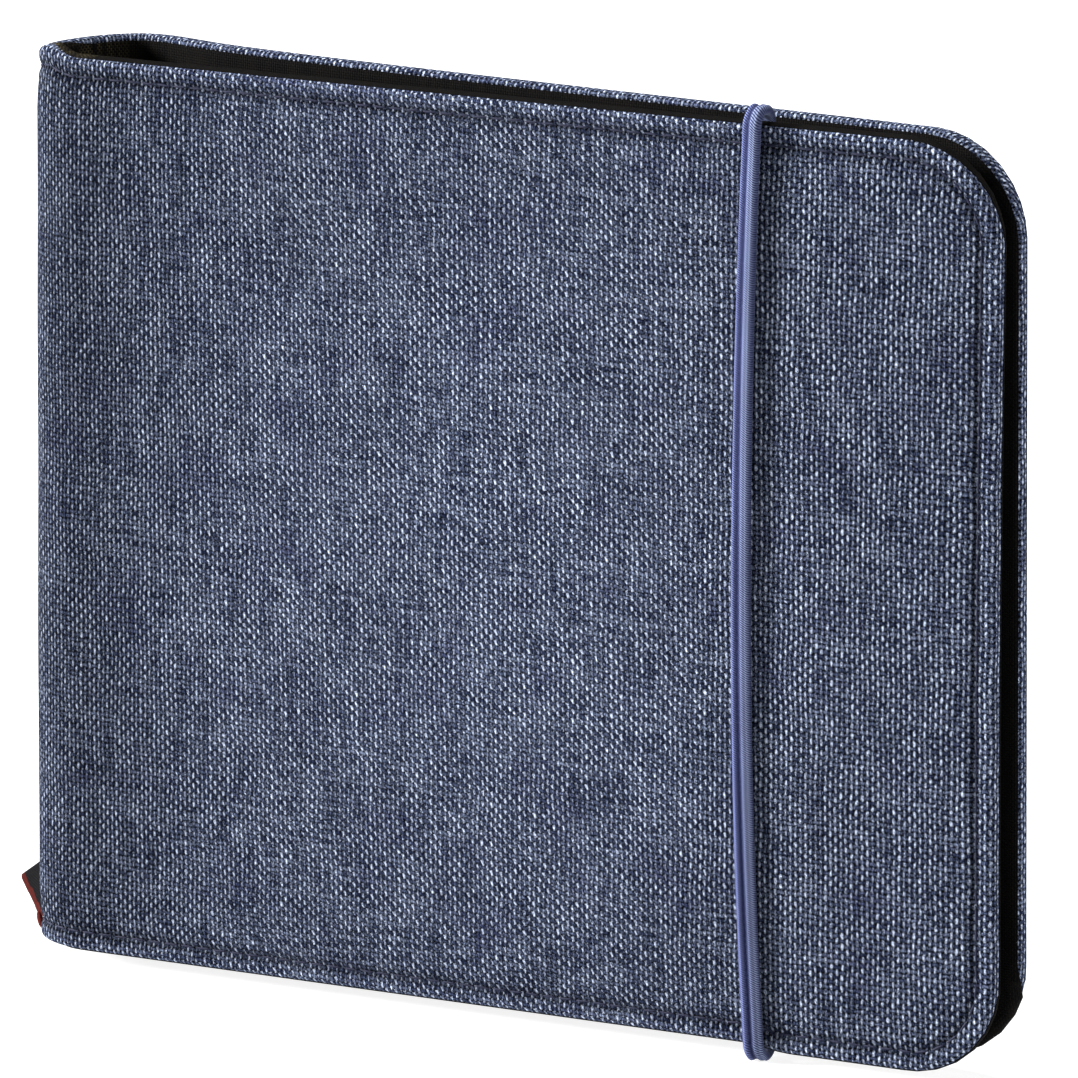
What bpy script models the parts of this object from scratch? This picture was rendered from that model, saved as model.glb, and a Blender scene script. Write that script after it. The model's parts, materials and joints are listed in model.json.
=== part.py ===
"""CD wallet with a cloth cover that folds round a pack of disc sleeves and is held shut by an elastic band.

The wallet stands on its bottom edges. X runs from the spine to the fore-edge, Y from the front cover to the
back cover, and Z up. Every layer of the cover follows one plan line, the outer face of the cloth seen from
above, so a layer is a band between two depths below that line.
"""

import math

import bmesh
import bpy
from mathutils import Vector

# Cover, in metres
COVER_HEIGHT = 0.148
COVER_WIDTH = 0.170
COVER_THICKNESS = 0.003
CORNER_RADIUS = 0.017
RIM_ROUNDING = 0.0011
CLOTH_THICKNESS = 0.0006
BOARD_THICKNESS = 0.0012
LINING_THICKNESS = 0.0006
HEM_WIDTH = 0.0043
LINING_INSET = 0.0009
LAYER_GAP = 0.0003
SIDE_GAP = 0.0003

# Spine fold, seen from above
FOLD_START_X = 0.007
FOLD_SIDE_X = -0.0049
FOLD_SIDE_Y = 0.0092
FOLD_CREST_X = 0.009
FOLD_CREST_Y = 0.025
BACK_START_X = 0.024
BACK_START_Y = 0.0221
BACK_EDGE_Y = 0.0112
BACK_START_SLOPE = -0.157
FRONT_BOARD_START_X = 0.0095
BACK_BOARD_START_X = 0.016

# How far each stretch of the fold runs on before it turns, as a share of its span
FRONT_TURN = 0.5
SIDE_TURN = 0.33
CREST_TURN = 0.57
BACK_CREST_TURN = 0.33
BACK_START_TURN = 0.47
BACK_BOW_START = 0.17
BACK_BOW_END = 0.4

# Elastic band
ELASTIC_WIDTH = 0.003
ELASTIC_THICKNESS = 0.0016
ELASTIC_FROM_FORE_EDGE = 0.0425
ELASTIC_END_DEPTH = 0.0042
DIP_HALF_WIDTH = 0.0048
DIP_FLATNESS = 1.5

# Disc sleeves
SLEEVE_COUNT = 12
SLEEVE_FROM_FORE_EDGE = 0.024
SLEEVE_TO_ELASTIC = 0.001
SLEEVE_THICKNESS = 0.00025
SLEEVE_PITCH_SPINE = 0.0005
SLEEVE_PITCH_FORE_EDGE = 0.0004
SLEEVE_CORNER_RADIUS = 0.005
WELD_WIDTH = 0.006
WELD_X = 0.006
COVER_TO_SLEEVES = 0.0006
TAPE_THICKNESS = 0.0008
TAPE_FLANGE = 0.008
TAPE_WEB_START = 0.0002

# Ribbon label in the spine
LABEL_HEIGHT = 0.0102
LABEL_REACH = 0.0032
LABEL_FOOT_REACH = 0.00064
LABEL_THICKNESS = 0.0009
LABEL_FOOT_Z = 0.0022
LABEL_DROOP = 0.0028

# The cover turns about a line just in front of its outer face
HINGE_CLEARANCE = 0.0003

# Values that follow from the sizes above
ELASTIC_X = COVER_WIDTH - ELASTIC_FROM_FORE_EDGE
ELASTIC_ROUNDING = ELASTIC_THICKNESS / 3
DIP_DEPTH = ELASTIC_THICKNESS + SIDE_GAP
BOARD_DEPTH = CLOTH_THICKNESS + LAYER_GAP
LINING_DEPTH = COVER_THICKNESS - LINING_THICKNESS
POCKET_FLOOR = LINING_DEPTH - LAYER_GAP
SLEEVE_LOW_Z = ELASTIC_END_DEPTH + ELASTIC_THICKNESS / 2 + SLEEVE_TO_ELASTIC
SLEEVE_TOP_Z = COVER_HEIGHT - SLEEVE_LOW_Z
SLEEVE_EDGE_X = COVER_WIDTH - SLEEVE_FROM_FORE_EDGE
LABEL_Y = FOLD_SIDE_Y
MIDDLE_X = (COVER_WIDTH + FOLD_SIDE_X - SIDE_GAP - LABEL_REACH) / 2
MIDDLE_Y = (FOLD_CREST_Y - SIDE_GAP - ELASTIC_THICKNESS) / 2
PLAN_STEPS = 9
CURVE_STEPS = 8
FAR = 0.05
SMOOTH_BELOW = math.radians(35)
ROUND_RIMS_ABOVE = math.radians(50)
ROUND_ELASTIC_ABOVE = math.radians(60)


def clear_scene():
    for item in list(bpy.data.objects):
        bpy.data.objects.remove(item, do_unlink=True)


def make_material(name, colour, roughness, metallic=0.0):
    material = bpy.data.materials.new(name)
    material.use_nodes = True
    shader = material.node_tree.nodes["Principled BSDF"]
    shader.inputs["Base Color"].default_value = (*colour, 1.0)
    shader.inputs["Roughness"].default_value = roughness
    shader.inputs["Metallic"].default_value = metallic
    return material


def curve_points(start, pull_start, pull_end, end):
    """Points of one Bezier stretch, without its last point."""
    points = []
    for step in range(PLAN_STEPS):
        t = step / PLAN_STEPS
        u = 1 - t
        points.append(u**3 * start + 3 * u * u * t * pull_start + 3 * u * t * t * pull_end + t**3 * end)
    return points


def plan_line():
    """Outer face of the cloth from above: front fore-edge, spine fold, back fore-edge."""
    fold = Vector((FOLD_START_X, 0))
    side = Vector((FOLD_SIDE_X, FOLD_SIDE_Y))
    crest = Vector((FOLD_CREST_X, FOLD_CREST_Y))
    back = Vector((BACK_START_X, BACK_START_Y))
    edge = Vector((COVER_WIDTH, BACK_EDGE_Y))
    rightwards = Vector((1, 0))
    backwards = Vector((0, 1))
    back_start_way = Vector((1, BACK_START_SLOPE)).normalized()
    back_way = (edge - back).normalized()
    front_turn = FRONT_TURN * (fold.x - side.x)
    side_turn = SIDE_TURN * (crest.y - side.y)
    crest_turn = CREST_TURN * (crest.x - side.x)
    back_crest_turn = BACK_CREST_TURN * (back.x - crest.x)
    back_start_turn = BACK_START_TURN * (back.x - crest.x)
    bow = (edge - back).length
    stretches = (
        (fold, fold - rightwards * front_turn, side - backwards * front_turn, side),
        (side, side + backwards * side_turn, crest - rightwards * crest_turn, crest),
        (crest, crest + rightwards * back_crest_turn, back - back_start_way * back_start_turn, back),
        (back, back + back_start_way * bow * BACK_BOW_START, edge - back_way * bow * BACK_BOW_END, edge),
    )
    points = [Vector((COVER_WIDTH + FAR, 0))]
    for stretch in stretches:
        points += curve_points(*stretch)
    return points + [edge, edge + back_way * FAR]


def inward_normals(points):
    normals = []
    for index in range(len(points)):
        before = points[max(index - 1, 0)]
        after = points[min(index + 1, len(points) - 1)]
        along = (after - before).normalized()
        normals.append(Vector((along.y, -along.x)))
    return normals


def prism(outline, low, high, axis):
    """Mesh of an outline pushed from low to high along one axis."""
    bm = bmesh.new()
    if axis == "Z":
        corners = [bm.verts.new((x, y, low)) for x, y in outline]
        push = Vector((0, 0, high - low))
    elif axis == "Y":
        corners = [bm.verts.new((x, low, z)) for x, z in outline]
        push = Vector((0, high - low, 0))
    else:
        corners = [bm.verts.new((low, y, z)) for y, z in outline]
        push = Vector((high - low, 0, 0))
    face = bm.faces.new(corners)
    grown = bmesh.ops.extrude_face_region(bm, geom=[face])
    moved = [item for item in grown["geom"] if isinstance(item, bmesh.types.BMVert)]
    bmesh.ops.translate(bm, verts=moved, vec=push)
    bmesh.ops.recalc_face_normals(bm, faces=bm.faces)
    return bm


def add_object(name, bm, material=None, parent=None):
    mesh = bpy.data.meshes.new(name)
    bm.to_mesh(mesh)
    bm.free()
    item = bpy.data.objects.new(name, mesh)
    bpy.context.scene.collection.objects.link(item)
    if material is None:
        item.hide_render = True
        item.display_type = "WIRE"
    else:
        mesh.materials.append(material)
    if parent is not None:
        item.parent = parent
    return item


def shade_round(item):
    item.data.shade_smooth()
    item.data.set_sharp_from_angle(angle=SMOOTH_BELOW)


def cut(item, cutter, operation="DIFFERENCE"):
    modifier = item.modifiers.new(cutter.name, "BOOLEAN")
    modifier.operation = operation
    modifier.solver = "EXACT"
    modifier.object = cutter


def round_edges(item, width, angle):
    modifier = item.modifiers.new("rounding", "BEVEL")
    modifier.width = width
    modifier.segments = 2
    modifier.limit_method = "ANGLE"
    modifier.angle_limit = angle
    modifier.use_clamp_overlap = False


def band_outline(points, near, far):
    """Closed outline between two depths below the plan line."""
    normals = inward_normals(points)
    outer = [point + normal * near for point, normal in zip(points, normals)]
    inner = [point + normal * far for point, normal in zip(points, normals)]
    return outer + inner[::-1]


def rounded_outline(inset, left, right, bottom, top, radius, steps=CURVE_STEPS):
    """Upright outline with its two fore-edge corners rounded."""
    points = [(left, top - inset), (left, bottom + inset)]
    corner = radius - inset
    for centre_z, start in ((bottom + radius, -90), (top - radius, 0)):
        for step in range(steps + 1):
            angle = math.radians(start + 90 * step / steps)
            points.append((right - radius + corner * math.cos(angle), centre_z + corner * math.sin(angle)))
    return points


def cover_slab(name, inset, origin):
    """Cutter with the cover's outline, from in front of the wallet to behind it."""
    outline = rounded_outline(inset, -FAR, COVER_WIDTH, 0, COVER_HEIGHT, CORNER_RADIUS)
    return add_object(name, prism(outline, -FAR, FAR, "Y"), parent=origin)


def box(name, low, high, origin):
    outline = [(low[0], low[1]), (high[0], low[1]), (high[0], high[1]), (low[0], high[1])]
    return add_object(name, prism(outline, low[2], high[2], "Z"), parent=origin)


def dip_cutter(name, growth, origin):
    """The soft hem yields where the elastic passes under the front cover."""
    half = DIP_HALF_WIDTH + growth
    points = [(ELASTIC_X + half, -FAR), (ELASTIC_X - half, -FAR)]
    for step in range(CURVE_STEPS + 1):
        share = step / CURVE_STEPS * 2 - 1
        wave = (1 + math.cos(math.pi * share)) / 2
        rise = min(1, wave * DIP_FLATNESS)
        points.append((ELASTIC_X + share * half, rise * DIP_DEPTH + growth))
    return add_object(name, prism(points, -FAR, BACK_EDGE_Y / 2, "Y"), parent=origin)


def place_at(points, x, last=False):
    """Where the line first or last passes x, as a point number with a share of the way to the next."""
    places = []
    for number, (before, after) in enumerate(zip(points, points[1:])):
        if min(before.x, after.x) <= x < max(before.x, after.x):
            places.append(number + (x - before.x) / (after.x - before.x))
    return places[-1] if last else places[0]


def line_between(points, start, end):
    """Part of the line between two places on it, with no point crowded against an end."""
    ends = []
    for place in (start, end):
        number = min(int(place), len(points) - 2)
        ends.append(points[number].lerp(points[number + 1], place - number))
    crowded = 0.1
    inner = [point for number, point in enumerate(points) if start + crowded < number < end - crowded]
    return [ends[0]] + inner + [ends[1]]


def cover_layer(name, near, far, inset, slabs, origin, material=None):
    """One layer of the open cover, all round from fore-edge to fore-edge."""
    outline = band_outline(plan_line(), near, far)
    item = add_object(name, prism(outline, -FAR, COVER_HEIGHT + FAR, "Z"), material, origin)
    cut(item, slabs[inset], "INTERSECT")
    return item


def front_zone(name, start_x, origin):
    """Everything of the front cover past its fold line."""
    return box(name, (start_x, -FAR, -FAR), (COVER_WIDTH + FAR, BACK_EDGE_Y / 2, COVER_HEIGHT + FAR), origin)


def move_to_hinge(item, hinge):
    """Hang a piece on the fold line without moving its shape."""
    item.data.transform(hinge.matrix_basis.inverted())
    item.parent = hinge


def add_cover(origin, materials):
    slabs = {
        0.0: cover_slab("cutter_cover_outline", 0.0, origin),
        LINING_INSET: cover_slab("cutter_lining_recess_outline", LINING_INSET, origin),
        LINING_INSET + SIDE_GAP: cover_slab("cutter_lining_outline", LINING_INSET + SIDE_GAP, origin),
        HEM_WIDTH: cover_slab("cutter_board_space_outline", HEM_WIDTH, origin),
        HEM_WIDTH + SIDE_GAP: cover_slab("cutter_board_outline", HEM_WIDTH + SIDE_GAP, origin),
    }
    dips = {
        "cloth": dip_cutter("cutter_cloth_dip", 0.0, origin),
        "recess": dip_cutter("cutter_recess_dip", LINING_INSET, origin),
        "lining": dip_cutter("cutter_lining_dip", LINING_INSET + SIDE_GAP, origin),
    }
    board_space = cover_layer(
        "cutter_board_space", CLOTH_THICKNESS, LINING_DEPTH, HEM_WIDTH, slabs, origin
    )
    recess = cover_layer(
        "cutter_lining_recess", POCKET_FLOOR, COVER_THICKNESS + SIDE_GAP * 2, LINING_INSET, slabs, origin
    )
    cut(recess, dips["recess"])
    moving = front_zone("cutter_front_zone", FOLD_START_X + SIDE_GAP / 2, origin)
    staying = front_zone("cutter_spine_zone", FOLD_START_X - SIDE_GAP / 2, origin)
    for name, zone, operation in (
        ("front_cover_cloth", moving, "INTERSECT"),
        ("spine_and_back_cloth", staying, "DIFFERENCE"),
    ):
        cloth = cover_layer(name, 0.0, COVER_THICKNESS, 0.0, slabs, origin, materials["cloth"])
        cut(cloth, dips["cloth"])
        round_edges(cloth, RIM_ROUNDING, ROUND_RIMS_ABOVE)
        cut(cloth, board_space)
        cut(cloth, recess)
        cut(cloth, zone, operation)
        shade_round(cloth)
    for name, zone, operation in (
        ("front_lining", moving, "INTERSECT"),
        ("spine_and_back_lining", staying, "DIFFERENCE"),
    ):
        lining = cover_layer(
            name, LINING_DEPTH, COVER_THICKNESS, LINING_INSET + SIDE_GAP, slabs, origin, materials["lining"]
        )
        cut(lining, dips["lining"])
        cut(lining, zone, operation)
        shade_round(lining)
    return slabs[HEM_WIDTH + SIDE_GAP]


def add_stiffeners(origin, board_slab, materials):
    """Boards in the two covers and the soft padding that turns the spine."""
    line = plan_line()
    fore_edge = len(line) - 1
    front_end = place_at(line, FRONT_BOARD_START_X)
    padding_start = place_at(line, FOLD_START_X - SIDE_GAP)
    padding_end = place_at(line, BACK_BOARD_START_X - SIDE_GAP, last=True)
    back_start = place_at(line, BACK_BOARD_START_X, last=True)
    front = line_between(line, 0, front_end)
    spine = line_between(line, padding_start, padding_end)
    back = line_between(line, back_start, fore_edge)
    near = BOARD_DEPTH
    far = BOARD_DEPTH + BOARD_THICKNESS
    for name, stretch, material in (
        ("front_board", front, "board"),
        ("back_board", back, "board"),
        ("spine_padding", spine, "padding"),
    ):
        shape = prism(band_outline(stretch, near, far), -FAR, COVER_HEIGHT + FAR, "Z")
        item = add_object(name, shape, materials[material], origin)
        cut(item, board_slab, "INTERSECT")
        shade_round(item)


def sleeve_plan():
    """Comb of sleeves seen from above, welded together along the spine side."""
    weld_end_x = WELD_X + WELD_WIDTH
    first_y = COVER_THICKNESS + COVER_TO_SLEEVES
    spread = (SLEEVE_PITCH_SPINE - SLEEVE_PITCH_FORE_EDGE) * SLEEVE_COUNT
    weld_y = first_y + spread
    outline = [(WELD_X, weld_y)]
    for number in range(SLEEVE_COUNT):
        near_spine = weld_y + SLEEVE_PITCH_SPINE * number
        near_edge = first_y + SLEEVE_PITCH_FORE_EDGE * number
        outline.append((weld_end_x, near_spine))
        outline.append((SLEEVE_EDGE_X, near_edge))
        outline.append((SLEEVE_EDGE_X, near_edge + SLEEVE_THICKNESS))
        outline.append((weld_end_x, near_spine + SLEEVE_THICKNESS))
    last_y = weld_y + SLEEVE_PITCH_SPINE * (SLEEVE_COUNT - 1) + SLEEVE_THICKNESS
    outline.append((WELD_X, last_y))
    return outline, (weld_y + last_y) / 2


def add_sleeves(origin, materials):
    outline, weld_middle_y = sleeve_plan()
    comb = prism(outline, -FAR, COVER_HEIGHT + FAR, "Z")
    sleeves = add_object("disc_sleeves", comb, materials["sleeve"], origin)
    corners = rounded_outline(
        0, -FAR, SLEEVE_EDGE_X, SLEEVE_LOW_Z, SLEEVE_TOP_Z, SLEEVE_CORNER_RADIUS, CURVE_STEPS // 2
    )
    cutter = add_object("cutter_sleeve_outline", prism(corners, -FAR, FAR, "Y"), parent=origin)
    cut(sleeves, cutter, "INTERSECT")
    add_binding_tape(origin, materials, weld_middle_y)


def add_binding_tape(origin, materials, weld_middle_y):
    """Tape sewn to the spine lining, with a web that holds the welded edge of the sleeves."""
    line = plan_line()
    stretch = [
        point for point in line
        if point.x < FOLD_START_X and abs(point.y - weld_middle_y) < TAPE_FLANGE / 2
    ]
    near = COVER_THICKNESS + LAYER_GAP
    flange = prism(band_outline(stretch, near, near + TAPE_THICKNESS), SLEEVE_LOW_Z, SLEEVE_TOP_Z, "Z")
    tape = add_object("sleeve_binding_tape", flange, materials["tape"], origin)
    web_start_x = min(point.x for point in stretch) + near + TAPE_WEB_START
    web_low = (web_start_x, weld_middle_y - TAPE_THICKNESS / 2, SLEEVE_LOW_Z)
    web_high = (WELD_X - SIDE_GAP, weld_middle_y + TAPE_THICKNESS / 2, SLEEVE_TOP_Z)
    cut(tape, box("cutter_tape_web", web_low, web_high, origin), "UNION")


def elastic_line():
    """Middle line of the elastic in its upright plane, as Y and Z, from one sewn end to the other."""
    half = COVER_THICKNESS / 2
    reach = half + SIDE_GAP + ELASTIC_THICKNESS / 2
    back_share = (ELASTIC_X - BACK_START_X) / (COVER_WIDTH - BACK_START_X)
    back_y = BACK_START_Y + (BACK_EDGE_Y - BACK_START_Y) * back_share
    end_y = back_y - COVER_THICKNESS - SIDE_GAP * 3
    top_centre = COVER_HEIGHT - half
    low_centre = DIP_DEPTH + half
    line = [Vector((end_y, COVER_HEIGHT - ELASTIC_END_DEPTH))]
    line.append(Vector((half + reach + ELASTIC_THICKNESS / 2, COVER_HEIGHT - ELASTIC_END_DEPTH + SIDE_GAP)))
    for centre_z, start in ((top_centre, 0), (low_centre, 180)):
        for step in range(CURVE_STEPS + 1):
            angle = math.radians(start + 180 * step / CURVE_STEPS)
            line.append(Vector((half + reach * math.cos(angle), centre_z + reach * math.sin(angle))))
    line.append(Vector((half + reach + ELASTIC_THICKNESS / 2, ELASTIC_END_DEPTH - SIDE_GAP)))
    line.append(Vector((end_y, ELASTIC_END_DEPTH)))
    return line


def add_elastic(origin, materials):
    outline = band_outline(elastic_line(), -ELASTIC_THICKNESS / 2, ELASTIC_THICKNESS / 2)
    low = ELASTIC_X - ELASTIC_WIDTH / 2
    high = ELASTIC_X + ELASTIC_WIDTH / 2
    elastic = add_object("elastic_band", prism(outline, low, high, "X"), materials["elastic"], origin)
    round_edges(elastic, ELASTIC_ROUNDING, ROUND_ELASTIC_ABOVE)
    shade_round(elastic)


def add_label(origin, materials):
    """Folded ribbon that stands out of the spine near its foot."""
    root_x = FOLD_SIDE_X - SIDE_GAP
    top = LABEL_FOOT_Z + LABEL_HEIGHT
    outline = [
        (root_x, LABEL_FOOT_Z),
        (root_x, top),
        (root_x - LABEL_REACH, top - LABEL_DROOP),
        (root_x - LABEL_FOOT_REACH, LABEL_FOOT_Z),
    ]
    bm = prism(outline, LABEL_Y - LABEL_THICKNESS / 2, LABEL_Y + LABEL_THICKNESS / 2, "Y")
    add_object("label_ribbon", bm, materials["label"], origin)


def main():
    clear_scene()
    materials = {
        "cloth": make_material("melange_cloth", (0.10, 0.125, 0.19), 0.85),
        "lining": make_material("black_lining", (0.008, 0.008, 0.010), 0.6),
        "board": make_material("grey_board", (0.32, 0.31, 0.29), 0.9),
        "padding": make_material("spine_foam", (0.16, 0.16, 0.17), 0.9),
        "sleeve": make_material("sleeve_sheet", (0.03, 0.03, 0.035), 0.5),
        "tape": make_material("binding_tape", (0.015, 0.015, 0.018), 0.8),
        "elastic": make_material("blue_elastic", (0.13, 0.15, 0.32), 0.6),
        "label": make_material("ribbon", (0.06, 0.015, 0.015), 0.7),
    }
    origin = bpy.data.objects.new("case_origin", None)
    bpy.context.scene.collection.objects.link(origin)
    origin.location = (-MIDDLE_X, -MIDDLE_Y, 0)
    hinge = bpy.data.objects.new("front_cover_hinge", None)
    bpy.context.scene.collection.objects.link(hinge)
    hinge.location = (FOLD_START_X, -HINGE_CLEARANCE, 0)
    hinge.parent = origin
    board_slab = add_cover(origin, materials)
    add_stiffeners(origin, board_slab, materials)
    for name in ("front_cover_cloth", "front_lining", "front_board"):
        move_to_hinge(bpy.data.objects[name], hinge)
    add_sleeves(origin, materials)
    add_elastic(origin, materials)
    add_label(origin, materials)


main()
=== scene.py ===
"""Dressed model of a cloth-covered CD wallet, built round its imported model.

The cover is cut as flat cloth and laid on the plan line, which is the outer face of the cloth seen
from above, from the front fore-edge round the spine to the back fore-edge. X runs from the spine to
the fore-edge, Y from the front cover to the back cover, and Z up.
"""

import json
import math
from bisect import bisect_right

import bmesh
import bpy
from bpy.props import FloatProperty, FloatVectorProperty, IntProperty, PointerProperty
from mathutils import Matrix, Vector, noise
from mathutils.geometry import interpolate_bezier
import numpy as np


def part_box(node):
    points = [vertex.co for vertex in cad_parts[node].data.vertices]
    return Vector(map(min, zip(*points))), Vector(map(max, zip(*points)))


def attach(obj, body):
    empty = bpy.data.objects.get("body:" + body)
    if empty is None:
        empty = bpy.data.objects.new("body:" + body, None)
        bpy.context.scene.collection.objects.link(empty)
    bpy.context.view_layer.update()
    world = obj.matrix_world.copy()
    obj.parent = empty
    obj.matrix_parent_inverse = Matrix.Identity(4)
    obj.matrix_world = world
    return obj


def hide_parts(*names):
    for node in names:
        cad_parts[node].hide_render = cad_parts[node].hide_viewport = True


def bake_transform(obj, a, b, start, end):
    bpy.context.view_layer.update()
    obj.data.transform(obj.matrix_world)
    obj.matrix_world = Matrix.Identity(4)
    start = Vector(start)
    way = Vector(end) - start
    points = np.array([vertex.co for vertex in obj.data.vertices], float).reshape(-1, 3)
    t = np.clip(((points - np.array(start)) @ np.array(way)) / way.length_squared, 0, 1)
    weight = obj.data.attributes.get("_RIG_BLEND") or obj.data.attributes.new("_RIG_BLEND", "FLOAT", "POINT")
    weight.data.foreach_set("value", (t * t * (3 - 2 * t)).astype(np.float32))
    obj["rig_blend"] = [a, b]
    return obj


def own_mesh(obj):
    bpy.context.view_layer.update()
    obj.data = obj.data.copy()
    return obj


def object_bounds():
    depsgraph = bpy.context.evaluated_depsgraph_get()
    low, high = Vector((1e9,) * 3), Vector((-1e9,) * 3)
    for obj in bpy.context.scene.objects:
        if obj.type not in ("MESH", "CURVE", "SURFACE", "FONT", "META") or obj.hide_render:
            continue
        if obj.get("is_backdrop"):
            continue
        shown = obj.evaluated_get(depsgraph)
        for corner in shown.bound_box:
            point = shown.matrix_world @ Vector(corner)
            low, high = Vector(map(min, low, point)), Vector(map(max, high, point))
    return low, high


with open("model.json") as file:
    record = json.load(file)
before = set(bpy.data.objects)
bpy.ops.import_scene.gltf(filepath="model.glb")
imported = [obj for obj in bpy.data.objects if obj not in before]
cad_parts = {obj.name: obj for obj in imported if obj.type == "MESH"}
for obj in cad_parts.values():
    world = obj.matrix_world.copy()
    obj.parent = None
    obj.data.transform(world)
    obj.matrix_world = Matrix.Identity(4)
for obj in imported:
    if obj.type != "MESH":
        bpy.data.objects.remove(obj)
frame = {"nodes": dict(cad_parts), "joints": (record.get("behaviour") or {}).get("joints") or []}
CAD_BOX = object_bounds()

bl_info = {
    "name": "CD Wallet",
    "version": (1, 0, 0),
    "blender": (4, 5, 0),
    "location": "View3D > Sidebar > CD Wallet",
    "description": "Cloth cover, sleeves and elastic of a CD wallet",
    "category": "Object",
}

MM = 0.001

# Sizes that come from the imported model
FRONT_LOW, FRONT_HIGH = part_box("front_cover_cloth")
SPINE_LOW, SPINE_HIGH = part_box("spine_and_back_cloth")
SLEEVES_LOW, SLEEVES_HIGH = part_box("disc_sleeves")
LABEL_LOW, LABEL_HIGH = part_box("label_ribbon")
ELASTIC_LOW, ELASTIC_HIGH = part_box("elastic_band")
FOLD_X = frame["joints"][0]["pos_m"][0]
FORE_EDGE_X = FRONT_HIGH.x
FRONT_Y = FRONT_LOW.y
COVER_HEIGHT = FRONT_HIGH.z
COVER_THICKNESS = FRONT_HIGH.y - FRONT_LOW.y

# Plan line, from the front face and the fold
SPINE_SIDE_DEPTH = 9.2 * MM
CREST_FROM_FOLD = 2 * MM
BACK_START_FROM_FOLD = 17 * MM
BACK_START_DEPTH = 22.1 * MM
BACK_EDGE_DEPTH = 11.2 * MM
BACK_START_SLOPE = -0.157
FRONT_TURN = 0.5
SIDE_TURN = 0.33
CREST_TURN = 0.57
BACK_CREST_TURN = 0.33
BACK_START_TURN = 0.47
BACK_BOW_START = 0.17
BACK_BOW_END = 0.4
PLAN_STEPS = 60

# How far the soft cover has settled out of true
SPINE_RUN = 14 * MM
SPINE_LOW_SETTLE = -0.6 * MM
SPINE_HIGH_SETTLE = 1.0 * MM
BACK_EDGE_LOW = 0.65 * MM
BACK_EDGE_HIGH = -0.5 * MM
FRONT_EDGE_SETTLE = -0.3 * MM
FRONT_EDGE_BOW = -0.5 * MM
HEM_SAG = -0.9 * MM
SPINE_TIP = 1.2 * MM
EDGE_SETTLE_REACH = 60 * MM
SPINE_SETTLE_REACH = 35 * MM
SAG_REACH = 44 * MM
SAG_EASE = 8 * MM
SAG_HEIGHT = 30 * MM
TIP_FROM_FOLD = 8 * MM
TIP_REACH = 6.5 * MM
TIP_START = 0.92

# Cloth sheets
LOW_CORNER = 15.2 * MM
HIGH_CORNER = 16.4 * MM
EDGE_BAND = 8 * MM
OUTER_RIM_RADIUS = 1.0 * MM
INNER_RIM_RADIUS = 0.8 * MM
CLOTH_THICKNESS = 0.45 * MM
CLOTH_STEP = 2.0 * MM
FOLD_STEP = 0.6 * MM
FOLD_REACH = 8 * MM
FACE_RINGS = (7.0, 6.2, 5.5, 4.9, 4.4, 4.0, 3.7, 3.4, 3.15, 2.9, 2.6, 2.3, 1.9, 1.5, 1.2, 1.0)
RIM_RINGS = 14
LINING_RINGS = 16
LINING_THICKNESS = 0.3 * MM
LINING_RISE = 0.3 * MM
FRONT_LEVEL_CLOTH_END = 1.6 * MM
FRONT_FORE_EDGE_CLOTH_END = 3.3 * MM
SPINE_CLOTH_END = 3.0 * MM
BACK_LEVEL_CLOTH_END = 4.45 * MM
BACK_FORE_EDGE_CLOTH_END = 4.0 * MM
BACK_LOW_CLOTH_END = 1.2 * MM
LINING_OVERLAP = 0.4 * MM
GROOVE_REACH = 0.75 * MM
PUFF_REACH = 7 * MM
RIM_EASE = 0.6 * MM
SPINE_CHANGE = 12 * MM
FACE_WAVE = 0.12 * MM
FACE_WAVE_SIZE = 34 * MM
FOLD_EASE = 0.01 * MM
CLOTH_FOLD_SLANT = math.radians(45)
LINING_FOLD_SLANT = math.radians(60)
LINING_FOLD_START = 0.5 * MM


def size(name, description, default, low, high):
    """Setting for a length, given here in millimetres."""
    return FloatProperty(
        name=name, description=description, default=default * MM, min=low * MM, max=high * MM, unit="LENGTH"
    )


def shade(name, description, default):
    """Setting for a colour."""
    return FloatVectorProperty(
        name=name, description=description, default=default, min=0, max=1, subtype="COLOR"
    )


def turn(name, description, default):
    """Setting for an angle, given here in degrees."""
    return FloatProperty(name=name, description=description, default=math.radians(default), subtype="ANGLE")


def light(name, description, default):
    """Setting for how bright a light is."""
    return FloatProperty(name=name, description=description, default=default)


class CoverSettings(bpy.types.PropertyGroup):
    stitch_inset: size("Stitch inset", "Distance of the stitching from the edge of the cover", 3.1, 2, 6)
    stitch_pitch: size("Stitch pitch", "Distance from one stitch to the next", 3.0, 1, 6)
    stitch_width: size("Thread width", "Thickness of the sewing thread", 0.42, 0.1, 1)
    groove: size("Stitch groove", "How deep the stitching pulls the cloth in", 0.4, 0, 1)
    puff: size("Face puff", "How far the padded face stands proud of the edge", 0.35, 0, 1)
    warp_pitch: size("Warp pitch", "Distance between upright yarns", 0.935, 0.2, 2)
    weft_pitch: size("Weft pitch", "Distance between level yarns", 0.812, 0.2, 2)
    light_yarn: shade("Light yarn", "Palest colour of the upright yarns", (0.45, 0.51, 0.66))
    mid_yarn: shade("Mid yarn", "Middle colour of the yarns", (0.078, 0.103, 0.185))
    dark_yarn: shade("Dark yarn", "Deepest colour of the level yarns", (0.005, 0.008, 0.027))
    thread: shade("Sewing thread", "Colour of the stitching round the cover", (0.003, 0.004, 0.015))
    lining: shade("Lining", "Colour of the lining", (0.002, 0.002, 0.0022))


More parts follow.
